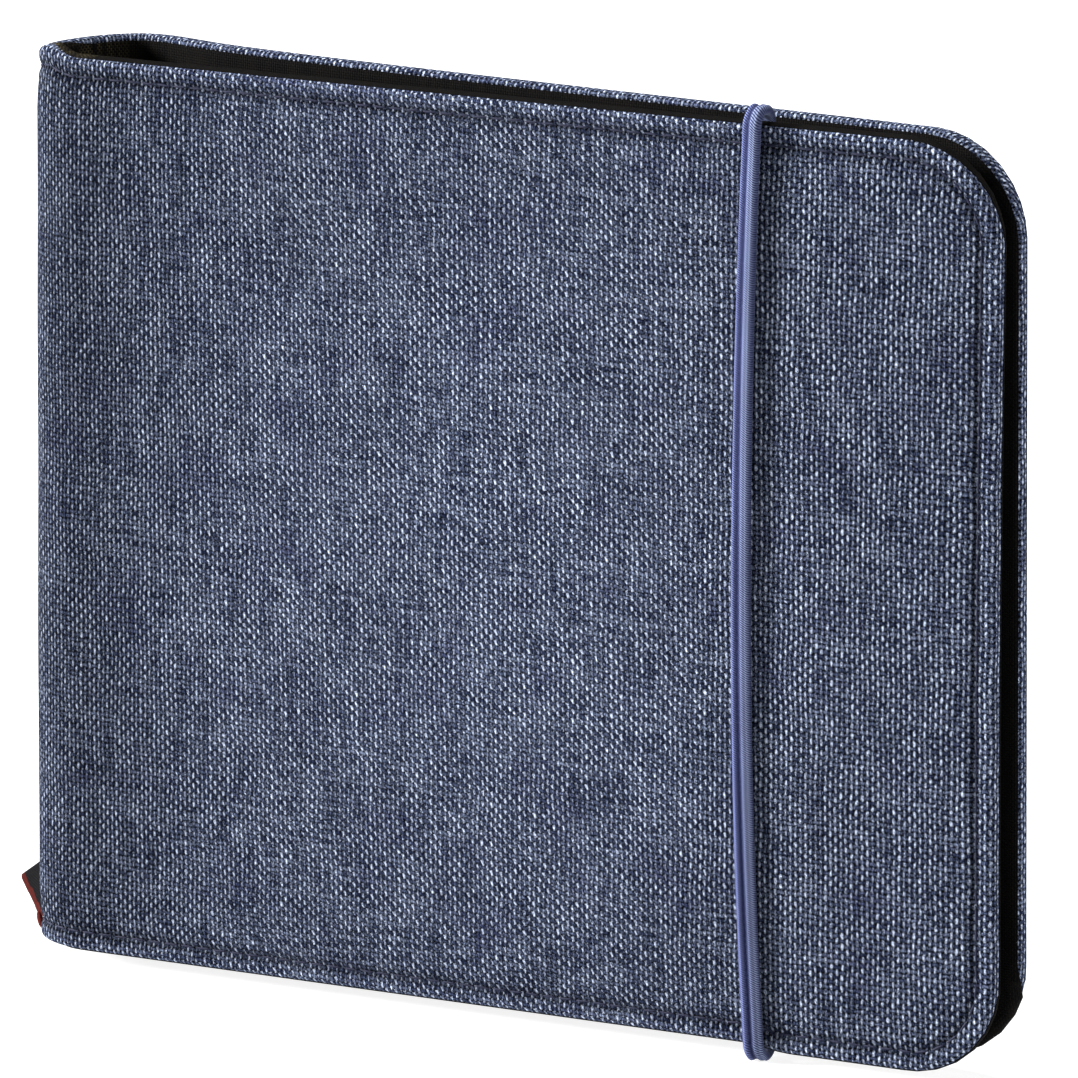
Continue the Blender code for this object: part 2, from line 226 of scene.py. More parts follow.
class ElasticSettings(bpy.types.PropertyGroup):
    width: size("Width", "Width of the elastic across its ridges", 3.3, 1, 6)
    thickness: size("Thickness", "Thickness of the elastic at its ridges", 1.75, 0.5, 3)
    rib_pitch: size("Rib pitch", "Distance between the fine slanted ribs", 0.37, 0.1, 2)
    # The ridge colour is painted on the crests as painted highlight, the groove colour between them as
    # painted shade
    ridge: shade("Ridge", "Colour of the ridges", (0.15, 0.178, 0.36))
    groove: shade("Groove", "Colour between the ridges", (0.006, 0.008, 0.038))


class SleeveSettings(bpy.types.PropertyGroup):
    count: IntProperty(name="Sleeves", description="Number of sleeves", default=12, min=1, max=24)
    notch_radius: size("Thumb notch", "Radius of the notch in each pocket", 13, 5, 30)


class LabelSettings(bpy.types.PropertyGroup):
    body: shade("Ribbon", "Colour of the ribbon", (0.002, 0.002, 0.0025))
    border: shade("Border", "Colour of the ribbon's folded edge", (0.045, 0.005, 0.004))


class StageSettings(bpy.types.PropertyGroup):
    azimuth: turn("Azimuth", "Camera angle round the wallet from the front", 27.26)
    elevation: turn("Elevation", "Camera angle above the floor", 13.45)
    roll: turn("Roll", "Turn of the camera round its own axis", -0.09)
    distance: size("Distance", "From the camera to the point it looks at", 1750, 200, 5000)
    lens: FloatProperty(name="Lens", description="Focal length in millimetres", default=370.2)
    key_strength: light("Key light", "Strength of the soft side light", 13.2)
    side_strength: light("Side light", "Strength of the fill on the fore-edge", 2.2)
    top_strength: light("Top light", "Strength of the light from above", 4.2)
    sky: light("Sky", "Strength of the even light all round", 0.1)
    glow: light("Floor glow", "Light of the lit floor itself", 0.88)


def held(value):
    """The value, held between 0 and 1."""
    return min(max(value, 0.0), 1.0)


def smooth(value):
    """Soft step from 0 to 1."""
    value = held(value)
    return value * value * (3 - 2 * value)


def running_lengths(points):
    """Length so far at each point of a course."""
    lengths = [0.0]
    for before, after in zip(points, points[1:]):
        lengths.append(lengths[-1] + (after - before).length)
    return lengths


def spot(lengths, run):
    """(stretch, share of that stretch) at a length along a course."""
    number = min(max(bisect_right(lengths, run) - 1, 0), len(lengths) - 2)
    return number, (run - lengths[number]) / (lengths[number + 1] - lengths[number])


class PlanLine:
    """Outer face of the cloth from above, measured along the cloth from the front fore-edge."""

    def __init__(self):
        fold = Vector((FOLD_X, FRONT_Y, 0))
        side = Vector((SPINE_LOW.x, FRONT_Y + SPINE_SIDE_DEPTH, 0))
        crest = Vector((FOLD_X + CREST_FROM_FOLD, SPINE_HIGH.y, 0))
        back = Vector((FOLD_X + BACK_START_FROM_FOLD, FRONT_Y + BACK_START_DEPTH, 0))
        edge = Vector((FORE_EDGE_X, FRONT_Y + BACK_EDGE_DEPTH, 0))
        front_edge = Vector((FORE_EDGE_X, FRONT_Y, 0))
        rightwards = Vector((1, 0, 0))
        backwards = Vector((0, 1, 0))
        start_way = Vector((1, BACK_START_SLOPE, 0)).normalized()
        back_way = (edge - back).normalized()
        front_turn = FRONT_TURN * (fold.x - side.x)
        side_turn = SIDE_TURN * (crest.y - side.y)
        crest_turn = CREST_TURN * (crest.x - side.x)
        back_span = back.x - crest.x
        bow = (edge - back).length
        stretches = (
            (front_edge, front_edge.lerp(fold, 1 / 3), front_edge.lerp(fold, 2 / 3), fold),
            (fold, fold - rightwards * front_turn, side - backwards * front_turn, side),
            (side, side + backwards * side_turn, crest - rightwards * crest_turn, crest),
            (
                crest,
                crest + rightwards * BACK_CREST_TURN * back_span,
                back - start_way * BACK_START_TURN * back_span,
                back,
            ),
            (back, back + start_way * bow * BACK_BOW_START, edge - back_way * bow * BACK_BOW_END, edge),
        )
        self.points = []
        for stretch in stretches:
            self.points += interpolate_bezier(*stretch, PLAN_STEPS)[:-1]
        self.points.append(edge)
        self.lengths = running_lengths(self.points)
        self.normals = []
        for number in range(len(self.points)):
            before = self.points[max(number - 1, 0)]
            after = self.points[min(number + 1, len(self.points) - 1)]
            along = (after - before).normalized()
            self.normals.append(Vector((along.y, -along.x, 0)))
        self.total = self.lengths[-1]
        self.fold = (fold - front_edge).length

    def length_at(self, x, last=False):
        """Length along the cloth where the line first or last passes x."""
        found = []
        for number, (before, after) in enumerate(zip(self.points, self.points[1:])):
            if min(before.x, after.x) <= x < max(before.x, after.x):
                share = (x - before.x) / (after.x - before.x)
                found.append(self.lengths[number] + share * (after - before).length)
        return found[-1] if last else found[0]

    def place(self, along, height, depth):
        """Point at a length along the cloth, a height and a depth below the outer face."""
        number, share = spot(self.lengths, along)
        point = self.points[number].lerp(self.points[number + 1], share)
        normal = self.normals[number].lerp(self.normals[number + 1], held(share)).normalized()
        return point + normal * depth + Vector((0, 0, height)) + self.settle(along, height)

    def settle(self, along, height):
        """How far the soft cover has settled out of true at a place."""
        up = height / COVER_HEIGHT
        at_front = smooth(1 - along / EDGE_SETTLE_REACH)
        at_back = smooth(1 - (self.total - along) / EDGE_SETTLE_REACH)
        at_spine = smooth(1 - abs(along - self.fold - SPINE_RUN) / SPINE_SETTLE_REACH)
        bow = FRONT_EDGE_SETTLE + FRONT_EDGE_BOW * math.sin(math.pi * held(up))
        sideways = (
            bow * at_front
            + (BACK_EDGE_LOW + (BACK_EDGE_HIGH - BACK_EDGE_LOW) * up) * at_back
            + (SPINE_LOW_SETTLE + (SPINE_HIGH_SETTLE - SPINE_LOW_SETTLE) * up) * at_spine
        )
        sag = HEM_SAG * smooth((SAG_REACH - along) / SAG_EASE) * smooth(1 - height / SAG_HEIGHT)
        near_tip = smooth(1 - abs(along - self.fold - TIP_FROM_FOLD) / TIP_REACH)
        tip = SPINE_TIP * near_tip * smooth((up - TIP_START) / (1 - TIP_START))
        return Vector((sideways, 0, sag + tip))


PLAN = PlanLine()
SEAM_LENGTH = PLAN.length_at(FOLD_X + BACK_START_FROM_FOLD, last=True)
OUTER_ARC = OUTER_RIM_RADIUS * math.pi / 2
RIM_FLAT = COVER_THICKNESS - OUTER_RIM_RADIUS - INNER_RIM_RADIUS
INNER_ARC = INNER_RIM_RADIUS * math.pi / 2
INNER_FACE = OUTER_ARC + RIM_FLAT + INNER_ARC


def on_line(flat_x, back):
    """Length along the plan line of a place in the flat cloth of one half of the cover."""
    return PLAN.total - flat_x if back else flat_x


def face_depth(inset, cover):
    """Depth of the outer face at a distance from the outline: a stitched groove and a padded face."""
    groove = cover.groove * math.exp(-(((inset - cover.stitch_inset) / GROOVE_REACH) ** 2))
    padding = cover.puff * smooth((inset - cover.stitch_inset) / PUFF_REACH)
    return groove - padding


def edge_point(wrap, rise, cover):
    """(distance inside the outline, depth) after the cloth has run a length past its outer face."""
    if wrap <= 0:
        inset = OUTER_RIM_RADIUS - wrap
        return inset, face_depth(inset, cover) * smooth(-wrap / RIM_EASE) - rise
    if wrap < OUTER_ARC:
        angle = wrap / OUTER_RIM_RADIUS
        centre = (OUTER_RIM_RADIUS, OUTER_RIM_RADIUS)
        radius = OUTER_RIM_RADIUS
    elif wrap < OUTER_ARC + RIM_FLAT:
        return -rise, OUTER_RIM_RADIUS + wrap - OUTER_ARC
    elif wrap < INNER_FACE:
        angle = math.pi / 2 + (wrap - OUTER_ARC - RIM_FLAT) / INNER_RIM_RADIUS
        centre = (INNER_RIM_RADIUS, COVER_THICKNESS - INNER_RIM_RADIUS)
        radius = INNER_RIM_RADIUS
    else:
        return INNER_RIM_RADIUS + wrap - INNER_FACE, COVER_THICKNESS + rise
    reach = radius + rise
    return centre[0] - reach * math.sin(angle), centre[1] - reach * math.cos(angle)


def cloth_end(along, level):
    """How far the cloth runs round the rim. The level is 0 at the fore-edge, 1 above and -1 below."""
    onto_spine = smooth((along - PLAN.fold) / SPINE_CHANGE)
    onto_back = smooth((along - PLAN.fold - SPINE_RUN) / SPINE_CHANGE)
    front = FRONT_FORE_EDGE_CLOTH_END + (FRONT_LEVEL_CLOTH_END - FRONT_FORE_EDGE_CLOTH_END) * abs(level)
    back = BACK_FORE_EDGE_CLOTH_END + (BACK_LEVEL_CLOTH_END - BACK_FORE_EDGE_CLOTH_END) * abs(level)
    back += (BACK_LOW_CLOTH_END - back) * smooth(-level / 0.4)
    return front + (SPINE_CLOTH_END - front) * onto_spine + (back - SPINE_CLOTH_END) * onto_back


def column_lengths(length, back):
    """Grid columns of a sheet, from its fore-edge band to its cut, closer round the fold and spine."""
    columns = [EDGE_BAND]
    while columns[-1] < length - FOLD_STEP:
        along = columns[-1]
        near_fold = not back and abs(along - PLAN.fold) < FOLD_REACH
        near_spine = not back and along > PLAN.fold
        step = FOLD_STEP if near_fold else CLOTH_STEP / 2 if near_spine else CLOTH_STEP
        columns.append(min(along + step, length))
    columns[-1] = length
    return columns


def flat_sheet(columns, ring_count):
    """Flat cloth with rings of faces along its fore-edge, top and bottom, ready to be laid."""
    bm = bmesh.new()
    base = bm.verts.layers.float_vector.new("base")
    way = bm.verts.layers.float_vector.new("way")
    ring = bm.verts.layers.float.new("ring")
    rows = round((COVER_HEIGHT - 2 * EDGE_BAND) / CLOTH_STEP)
    bmesh.ops.create_grid(bm, x_segments=len(columns) - 1, y_segments=rows, size=1)
    for vert in bm.verts:
        along = columns[round((vert.co.x + 1) / 2 * (len(columns) - 1))]
        height = EDGE_BAND + (vert.co.y + 1) / 2 * (COVER_HEIGHT - 2 * EDGE_BAND)
        outward = Vector((0, 0, 0))
        if vert.is_boundary:
            if along == columns[0]:
                outward = Vector((-1, 0, 0))
            elif abs(vert.co.y) > 0.999:
                outward = Vector((0, math.copysign(1, vert.co.y), 0))
        in_low_half = height < COVER_HEIGHT / 2
        radius = LOW_CORNER if in_low_half else HIGH_CORNER
        corner = radius - EDGE_BAND
        middle = Vector((radius, radius if in_low_half else COVER_HEIGHT - radius, 0))
        sideways = (middle.x - along) / corner
        upwards = abs(height - middle.y) / corner
        in_corner = sideways > 0 and (height < middle.y) == in_low_half and upwards > 0
        if in_corner:
            sign = -1 if height < middle.y else 1
            along = middle.x - corner * sideways * math.sqrt(1 - upwards**2 / 2)
            height = middle.y + sign * corner * upwards * math.sqrt(1 - sideways**2 / 2)
            if outward.length > 0:
                outward = (Vector((along, height, 0)) - middle).normalized()
        vert.co = (along, height, 0)
        vert[base] = vert.co
        vert[way] = outward
    cut = columns[-1]
    edges = [
        edge for edge in bm.edges
        if edge.is_boundary and not all(abs(vert.co.x - cut) < 1e-6 for vert in edge.verts)
    ]
    for number in range(1, ring_count + 1):
        grown = bmesh.ops.extrude_edge_only(bm, edges=edges)["geom"]
        fresh = {item for item in grown if isinstance(item, bmesh.types.BMVert)}
        for vert in fresh:
            vert.co = vert[base] + vert[way] * (number * MM)
            vert[ring] = number
        edges = [
            item for item in grown
            if isinstance(item, bmesh.types.BMEdge) and all(vert in fresh for vert in item.verts)
        ]
    return bm


def lay_sheet(bm, back, edge_course, face_course):
    """Move a flat sheet onto the cover. Its flat place becomes its UV map, so the weave follows it."""
    base = bm.verts.layers.float_vector["base"]
    way = bm.verts.layers.float_vector["way"]
    ring = bm.verts.layers.float["ring"]
    weave = bm.loops.layers.uv.new("cloth")
    inside = bm.verts.layers.float.new("inset")
    flat_places = {}
    for vert in bm.verts:
        start = vert[base]
        number = round(vert[ring])
        if number:
            inset, depth, run = edge_course(number, on_line(start.x, back), vert[way].y)
            flat = start + vert[way] * run
            seen = start + vert[way] * (EDGE_BAND - inset)
        else:
            inset = min(start.x, start.y, COVER_HEIGHT - start.y)
            depth = face_course(inset)
            flat = seen = start
        vert[inside] = inset
        wave = noise.noise(Vector((seen.x, seen.y, 1.0 if back else 0.0)) / FACE_WAVE_SIZE)
        calm = smooth((inset - EDGE_BAND / 2) / EDGE_BAND)
        vert.co = PLAN.place(on_line(seen.x, back), seen.y, depth + FACE_WAVE * wave * calm)
        flat_places[vert] = (on_line(flat.x, back), flat.y)
    for face in bm.faces:
        for loop in face.loops:
            loop[weave].uv = flat_places[loop.vert]


def thicken(bm, thickness, outside):
    """Give a laid sheet its wall, inwards from the side that shows, and close it at its edges."""
    bmesh.ops.recalc_face_normals(bm, faces=bm.faces)
    probe = max(bm.faces, key=lambda face: face.calc_area())
    if probe.normal.dot(outside) < 0:
        bmesh.ops.reverse_faces(bm, faces=bm.faces)
    bmesh.ops.solidify(bm, geom=bm.faces[:], thickness=thickness)


def add_piece(name, bm, finish, smooth_angle=40):
    """Link a finished shape to the scene, without the marks that it was made with."""
    mesh = bpy.data.meshes.new(name)
    layers = bm.verts.layers
    for kinds, mark in ((layers.float_vector, "base"), (layers.float_vector, "way"), (layers.float, "ring")):
        if mark in kinds:
            kinds.remove(kinds[mark])
    bm.to_mesh(mesh)
    bm.free()
    mesh.shade_smooth()
    mesh.set_sharp_from_angle(angle=math.radians(smooth_angle))
    mesh.materials.append(finish)
    item = bpy.data.objects.new(name, mesh)
    bpy.context.scene.collection.objects.link(item)
    return item


def bend_at_fold(item, start, depth, slant):
    """Let a piece turn at the front fold, along a slanted plane that leaves the spine behind it."""
    middle = Vector((FOLD_X + start, FRONT_Y + depth, COVER_HEIGHT / 2))
    reach = Vector((math.cos(slant), -math.sin(slant), 0)) * FOLD_EASE
    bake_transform(item, "case", "front_cover", middle - reach, middle + reach)


# Shader maths


class Value:
    """Output socket of a node, so that an expression on values adds its Math nodes."""

    def __init__(self, tree, socket):
        self.tree = tree
        self.socket = socket

    def math(self, operation, *others, clamp=False):
        node = self.tree.nodes.new("ShaderNodeMath")
        node.operation = operation
        node.use_clamp = clamp
        for number, item in enumerate((self, *others)):
            if isinstance(item, Value):
                self.tree.links.new(item.socket, node.inputs[number])
            else:
                node.inputs[number].default_value = item
        return Value(self.tree, node.outputs[0])

    def __add__(self, other):
        return self.math("ADD", other)

    __radd__ = __add__

    def __mul__(self, other):
        return self.math("MULTIPLY", other)

    def __sub__(self, other):
        return self.math("SUBTRACT", other)

    def __rsub__(self, other):
        return self.math("MULTIPLY_ADD", -1.0, other)

    def __truediv__(self, other):
        return self.math("DIVIDE", other)

    def clamp(self):
        return self.math("ADD", 0.0, clamp=True)

    def stretch(self, gain, middle=0.5):
        """Raise the contrast round a middle value, within 0 and 1."""
        return self.math("MULTIPLY_ADD", gain, 0.5 - gain * middle, clamp=True)


class Finish:
    """Material with one Principled shader, whose constants are set on the shader itself."""

    def __init__(self, name, **constants):
        self.material = bpy.data.materials.new(name)
        self.material.use_nodes = True
        self.tree = self.material.node_tree
        self.shader = self.tree.nodes["Principled BSDF"]
        for key, value in constants.items():
            self.shader.inputs[key.replace("_", " ").title().replace("Ior", "IOR")].default_value = value

    def node(self, kind, settings=None, output=0, **sockets):
        node = self.tree.nodes.new(kind)
        for key, value in (settings or {}).items():
            setattr(node, key, value)
        for key, value in sockets.items():
            numbered = key[0] == "i" and key[1:].isdigit()
            socket = node.inputs[int(key[1:]) if numbered else key]
            if isinstance(value, Value):
                self.tree.links.new(value.socket, socket)
            else:
                socket.default_value = value
        return Value(self.tree, node.outputs[output])

    def split(self, vector):
        return [self.node("ShaderNodeSeparateXYZ", output=axis, Vector=vector) for axis in range(3)]

    def join(self, x=0.0, y=0.0, z=0.0):
        return self.node("ShaderNodeCombineXYZ", X=x, Y=y, Z=z)

    def uv(self):
        return self.node("ShaderNodeTexCoord", output="UV")

    def place(self):
        return self.node("ShaderNodeTexCoord", output="Object")

    def noise(self, vector, scale, detail=2.0, roughness=0.5, output="Fac"):
        return self.node(
            "ShaderNodeTexNoise", output=output,
            Vector=vector, Scale=scale, Detail=detail, Roughness=roughness,
        )

    def mix(self, share, first, second):
        return self.node(
            "ShaderNodeMix", {"data_type": "RGBA"}, 2, i0=share, i6=colour(first), i7=colour(second)
        )

    def multiply(self, first, second):
        return self.node(
            "ShaderNodeMix", {"data_type": "RGBA", "blend_type": "MULTIPLY"}, 2,
            i0=1.0, i6=colour(first), i7=colour(second),
        )

    def grey(self, value):
        return self.node("ShaderNodeCombineColor", Red=value, Green=value, Blue=value)

    def feed(self, **sockets):
        for key, value in sockets.items():
            self.tree.links.new(value.socket, self.shader.inputs[key.replace("_", " ")])

    def bump(self, height, distance):
        self.feed(Normal=self.node("ShaderNodeBump", Height=height, Distance=distance, Strength=1.0))


def colour(value):
    """A colour socket as it is, or a plain colour with its alpha."""
    if isinstance(value, Value):
        return value
    return (*value, 1.0)


INK_BLUE = (0.016, 0.018, 0.07)
LINING_WEAVE = 0.42 * MM
GLEAM_REACH = 14 * MM


def yarn_round(value, width):
    """Height across one yarn, 1 on its crown and falling away fast beyond its sides."""
    share = value / width
    return (1 - share * share).math("MAXIMUM", -1.4)


def plain_weave(across, along, upright_width=0.47, level_width=0.47, lean=0.0, slant=0.5):
    """Yarn numbers, share of upright yarn on top and height of a plain weave, from yarn coordinates."""
    warp = across.math("FLOOR")
    weft = along.math("FLOOR")
    side = across - warp - 0.5
    rise = along - weft - 0.5
    over = 1 - (warp + weft).math("FLOORED_MODULO", 2.0) * 2
    falling = ((side - rise) * math.pi).math("COSINE")
    rising = ((side + rise) * math.pi).math("COSINE")
    crossing = over * (falling * slant + rising * (1 - slant)) * 0.7
    upright = yarn_round(side + rise * lean, upright_width) * 0.9 + crossing
    level = yarn_round(rise, level_width) * 0.8 - crossing
    height = upright.math("MAXIMUM", level)
    shows = (upright - level).stretch(4.0, 0.0)
    return warp, weft, shows, height


def cloth_finish(cover):
    """Melange canvas: pale slubby upright yarns over navy level yarns."""
    paint = Finish("melange_cloth", roughness=0.95, specular_ior_level=0.02)
    # Yarn coordinates, which drift and kink a little
    place = paint.uv()
    drift_x, drift_z, drift_tint = paint.split(paint.noise(place, 90.0, 2.0, output="Color"))
    kink_x, kink_z, _ = paint.split(paint.noise(place, 1000.0, 2.0, output="Color"))
    x, z, _ = paint.split(place)
    closer = 1 + x.math("MINIMUM", 0.17) * 0.6
    across = x * closer / cover.warp_pitch + (drift_x - 0.5) * 1.1 + (kink_x - 0.5) * 0.6
    along = z / cover.weft_pitch + (drift_z - 0.5) * 1.0 + (kink_z - 0.5) * 0.6
    mid_cover = (2 - (x - 0.095).math("ABSOLUTE") / 0.035).clamp()
    lean = mid_cover * -0.25 + (drift_tint - 0.5) * 0.5
    slant = mid_cover * 0.33 + 0.5
    warp, weft, shows, height = plain_weave(across, along, 0.33, 0.42, lean, slant)
    # Twisted fibres, then the slubs and flecks of the upright and the level yarns
    twisted = paint.join(across * 6.5 - along * 2.2, along * 2.0 + across * 0.5)
    fibre = paint.noise(twisted, 1.0, 3.0, 0.8)
    fleck = paint.noise(paint.join(warp * 5.31, along * 0.7), 1.0, 2.0, 0.8)
    slub = paint.noise(paint.join(warp * 1.7, along * 0.06), 1.0, 2.0)
    level_slub = paint.noise(paint.join(across * 0.08, weft * 1.7 + 37.0), 1.0, 2.0)
    level_fleck = paint.noise(paint.join(across * 0.8, weft * 4.7 + 11.0), 1.0, 1.0, 0.7)
    cloud = paint.noise(place, 38.0, 3.0)
    streak = fibre.stretch(4.2)
    upright_tone = (fleck.stretch(3.0) * 0.46 + slub.stretch(3.2) * 0.36 + streak * 0.5 - 0.13).clamp()
    level_tone = level_fleck.stretch(3.0) * 0.46 + level_slub.stretch(3.2) * 0.46 + streak * 0.6
    level_tone = (level_tone - 0.29).clamp()
    upright = paint.mix(upright_tone, cover.dark_yarn, cover.mid_yarn)
    upright = paint.mix(upright_tone.stretch(1.7, 0.56), upright, cover.light_yarn)
    level = paint.mix(level_tone, cover.dark_yarn, cover.mid_yarn)
    level = paint.mix(level_tone.stretch(1.5, 0.8) * 0.3, level, cover.light_yarn)
    cloth = paint.mix(shows, level, upright)
    inked = (drift_tint.stretch(6.0, 0.6) * level_slub.stretch(4.0, 0.5)) * 0.5
    cloth = paint.mix(inked, cloth, INK_BLUE)
    # Painted shade between the yarns and painted highlights along their plies, painted shade in the
    # pulled-in seam, painted shade round the spine, a painted highlight on the rim and a painted vignette
    # that darkens the face towards its edges
    ply_highlights = ((across - warp - 0.5) * (4 * math.pi)).math("COSINE") * 0.28 + 1
    crown = (height * 0.62 - 0.02).clamp() * ply_highlights
    # Painted shade in the stitched groove, of uneven strength
    inset = paint.node("ShaderNodeAttribute", {"attribute_name": "inset"}, "Fac")
    seam_side = (inset - cover.stitch_inset) / (1.0 * MM)
    seam_shade = (seam_side * seam_side * -1.0).math("EXPONENT") * (0.25 + cloud * 0.45)
    from_spine = (x - PLAN.fold - 8 * MM) / (20 * MM)
    on_face = (inset / (2.5 * MM)).clamp()
    spine_shade = 1 - (from_spine * from_spine * -1.0).math("EXPONENT") * 0.38 * on_face
    # Painted highlight: the rim is painted lighter than the face
    rim_highlight = 1.5 - on_face * 0.5
    # Painted vignette: the cloth is darkened overall and painted darker still away from the middle of the
    # face, as painted shade
    off_x = (x - 0.09) / 0.075
    off_z = z / 0.075 - 1
    painted_vignette = 0.69 - (off_x * off_x + off_z * off_z).clamp() * 0.13
    shade = crown * (0.36 + streak * 1.25 + cloud * 0.4) * (1 - seam_shade) * spine_shade * rim_highlight * painted_vignette
    paint.feed(Base_Color=paint.multiply(cloth, paint.grey(shade)))
    paint.bump(height + fibre * 0.8, 0.11 * MM)
    return paint.material


def thread_finish(cover):
    """Navy sewing thread with the light catching its twist."""
    paint = Finish("sewing_thread", roughness=0.7, specular_ior_level=0.2)
    place = paint.place()
    twist = paint.noise(place, 2600.0, 1.0)
    tone = paint.noise(place, 160.0, 2.0)
    # Painted highlight where the light catches the twist, mixed with random tone
    gleam_and_tone = (twist.stretch(2.0) * 0.5 + tone.stretch(2.0) * 0.4).clamp()
    paint.feed(Base_Color=paint.mix(gleam_and_tone, cover.thread, (0.009, 0.011, 0.034)))
    paint.bump(twist, 0.05 * MM)
    return paint.material


def lining_finish(cover):
    """Fine black lining with a faint rib and a soft gleam on its threads."""
    paint = Finish("black_lining", roughness=0.9, specular_ior_level=0.02)
    x, z, _ = paint.split(paint.uv())
    _, _, shows, height = plain_weave(x / LINING_WEAVE, z / LINING_WEAVE)
    slub = paint.noise(paint.join(x * 900.0, z * 120.0), 1.0, 2.0)
    tone = (shows * 0.5 + slub.stretch(2.5) * 0.6).clamp()
    # Painted highlight: a brown gleam on the threads near the spine, in random patches
    from_spine = (x - PLAN.fold - SPINE_RUN) / GLEAM_REACH
    patch = paint.noise(paint.place(), 150.0, 2.0).stretch(5.0, 0.55)
    gleam_and_tone = (from_spine * from_spine * -1.0).math("EXPONENT") * slub.stretch(3.0) * patch
    black = paint.mix(tone, cover.lining, (0.0055, 0.0050, 0.0045))
    paint.feed(
        Base_Color=paint.mix(gleam_and_tone * shows, black, (0.11, 0.09, 0.045)),
        Roughness=0.75 + slub * 0.2,
    )
    paint.bump(height, 0.09 * MM)
    return paint.material


def tape_finish():
    """Black twill tape."""
    paint = Finish("twill_tape", roughness=0.85, specular_ior_level=0.05, sheen_weight=0.02)
    x, y, z = paint.split(paint.place())
    slant = (z + x + y) / (0.55 * MM)
    ridge = (slant * (2 * math.pi)).math("SINE") * 0.5 + 0.5
    grain = paint.noise(paint.place(), 1500.0, 2.0)
    # Painted highlight on the twill's crests and painted shade in its troughs, mixed with random grain
    tone = (ridge * 0.6 + grain * 0.4).clamp()
    paint.feed(Base_Color=paint.mix(tone, (0.003, 0.003, 0.0035), (0.018, 0.018, 0.020)))
    paint.bump(ridge + grain * 0.4, 0.12 * MM)
    return paint.material


def fleece_finish():
    """Black pressed fleece of the sleeves, with its grid of small pressed dots."""
    paint = Finish("sleeve_fleece", roughness=0.9, specular_ior_level=0.05, sheen_weight=0.02)
    x, y, z = paint.split(paint.place())
    dot_x = (x / (0.9 * MM)).math("FRACT") - 0.5
    dot_z = (z / (0.9 * MM)).math("FRACT") - 0.5
    dot = ((dot_x * dot_x + dot_z * dot_z).math("SQRT")).stretch(-9.0, 0.28)
    fibre = paint.noise(paint.join(x, y, z * 0.35), 2200.0, 3.0, 0.7)
    tone = (fibre.stretch(1.8) * (1 - dot * 0.7)).clamp()
    paint.feed(
        Base_Color=paint.mix(tone, (0.004, 0.004, 0.0045), (0.022, 0.022, 0.024)),
        Roughness=0.9 - dot * 0.45,
    )
    paint.bump(fibre * 0.6 - dot, 0.06 * MM)
    return paint.material


def film_finish():
    """Clear soft film of the disc pockets, slightly rippled."""
    paint = Finish("pocket_film", roughness=0.2, ior=1.5, base_color=(0.10, 0.105, 0.11, 1.0), alpha=0.22)
    ripple = paint.noise(paint.place(), 42.0, 3.0)
    haze = paint.noise(paint.place(), 420.0, 3.0)
    paint.feed(Roughness=0.14 + haze.stretch(2.0) * 0.16, Alpha=0.16 + haze.stretch(2.2) * 0.08)
    paint.bump(ripple, 0.35 * MM)
    return paint.material


def board_finish():
    """Grey stiffener board with pressed fibres."""
    paint = Finish("grey_board", roughness=0.85)
    x, y, z = paint.split(paint.place())
    fibre = paint.noise(paint.join(x, y, z * 0.3), 900.0, 4.0, 0.7)
    speck = paint.noise(paint.place(), 2400.0, 1.0).stretch(9.0, 0.68)
    grey = paint.mix(fibre.stretch(2.0), (0.13, 0.124, 0.112), (0.26, 0.25, 0.23))
    paint.feed(Base_Color=paint.mix(speck, grey, (0.08, 0.08, 0.08)))
    paint.bump(fibre, 0.08 * MM)
    return paint.material


def foam_finish():
    """Dark open foam, its pores painted darker than their walls as painted shade."""
    paint = Finish("spine_foam", roughness=0.95)
    cells = paint.node(
        "ShaderNodeTexVoronoi", {"feature": "DISTANCE_TO_EDGE"}, "Distance",
        Vector=paint.place(), Scale=1400.0,
    )
    # Painted shade in the pores: the cells are painted darker away from their walls
    wall = (cells * 9.0).clamp()
    grain = paint.noise(paint.place(), 600.0, 2.0)
    tone = (wall * 0.6 + grain * 0.4).clamp()
    paint.feed(Base_Color=paint.mix(tone, (0.20, 0.20, 0.21), (0.09, 0.09, 0.10)))
    paint.bump(1 - wall, 0.2 * MM)
    return paint.material


def elastic_finish(elastic):
    """Braided elastic: fine slanted ribs, its ridges painted pale as painted highlight and the groove
    between them painted dark as painted shade.
    """
    paint = Finish("braided_elastic", roughness=0.8, specular_ior_level=0.06, sheen_weight=0.03)
    across, along, _ = paint.split(paint.uv())
    ridges = 0.0
    for middle, reach, height in RIDGES:
        offset = (across - middle) / reach
        ridges = (offset * offset * -1.0).math("EXPONENT") * (height / RIDGE_HEIGHT) + ridges
    ridges = ridges.clamp()
    phase = (along + across * RIB_SLANT) / elastic.rib_pitch
    rib = (phase * (2 * math.pi)).math("SINE") * 0.5 + 0.5
    fuzz = paint.noise(paint.join(across * 5000.0, along * 2200.0), 1.0, 2.0, 0.6)
    # Painted highlight on the ridge and rib crests, painted shade in the groove and between the ribs
    tone = (ridges * (rib * 1.2 - 0.1) + (fuzz - 0.5) * 0.5).clamp()
    ridge = paint.mix((across / (1.4 * MM) + 0.5).clamp(), elastic.ridge, (0.185, 0.22, 0.34))
    body = paint.mix(tone, elastic.groove, ridge)
    drift = paint.noise(paint.join(across * 60.0, along * 60.0), 1.0, 2.0)
    body = paint.multiply(body, paint.grey(0.8 + drift * 0.4))
    paint.feed(Base_Color=body)
    paint.bump(rib * ridges + fuzz * 0.3, 0.05 * MM)
    return paint.material


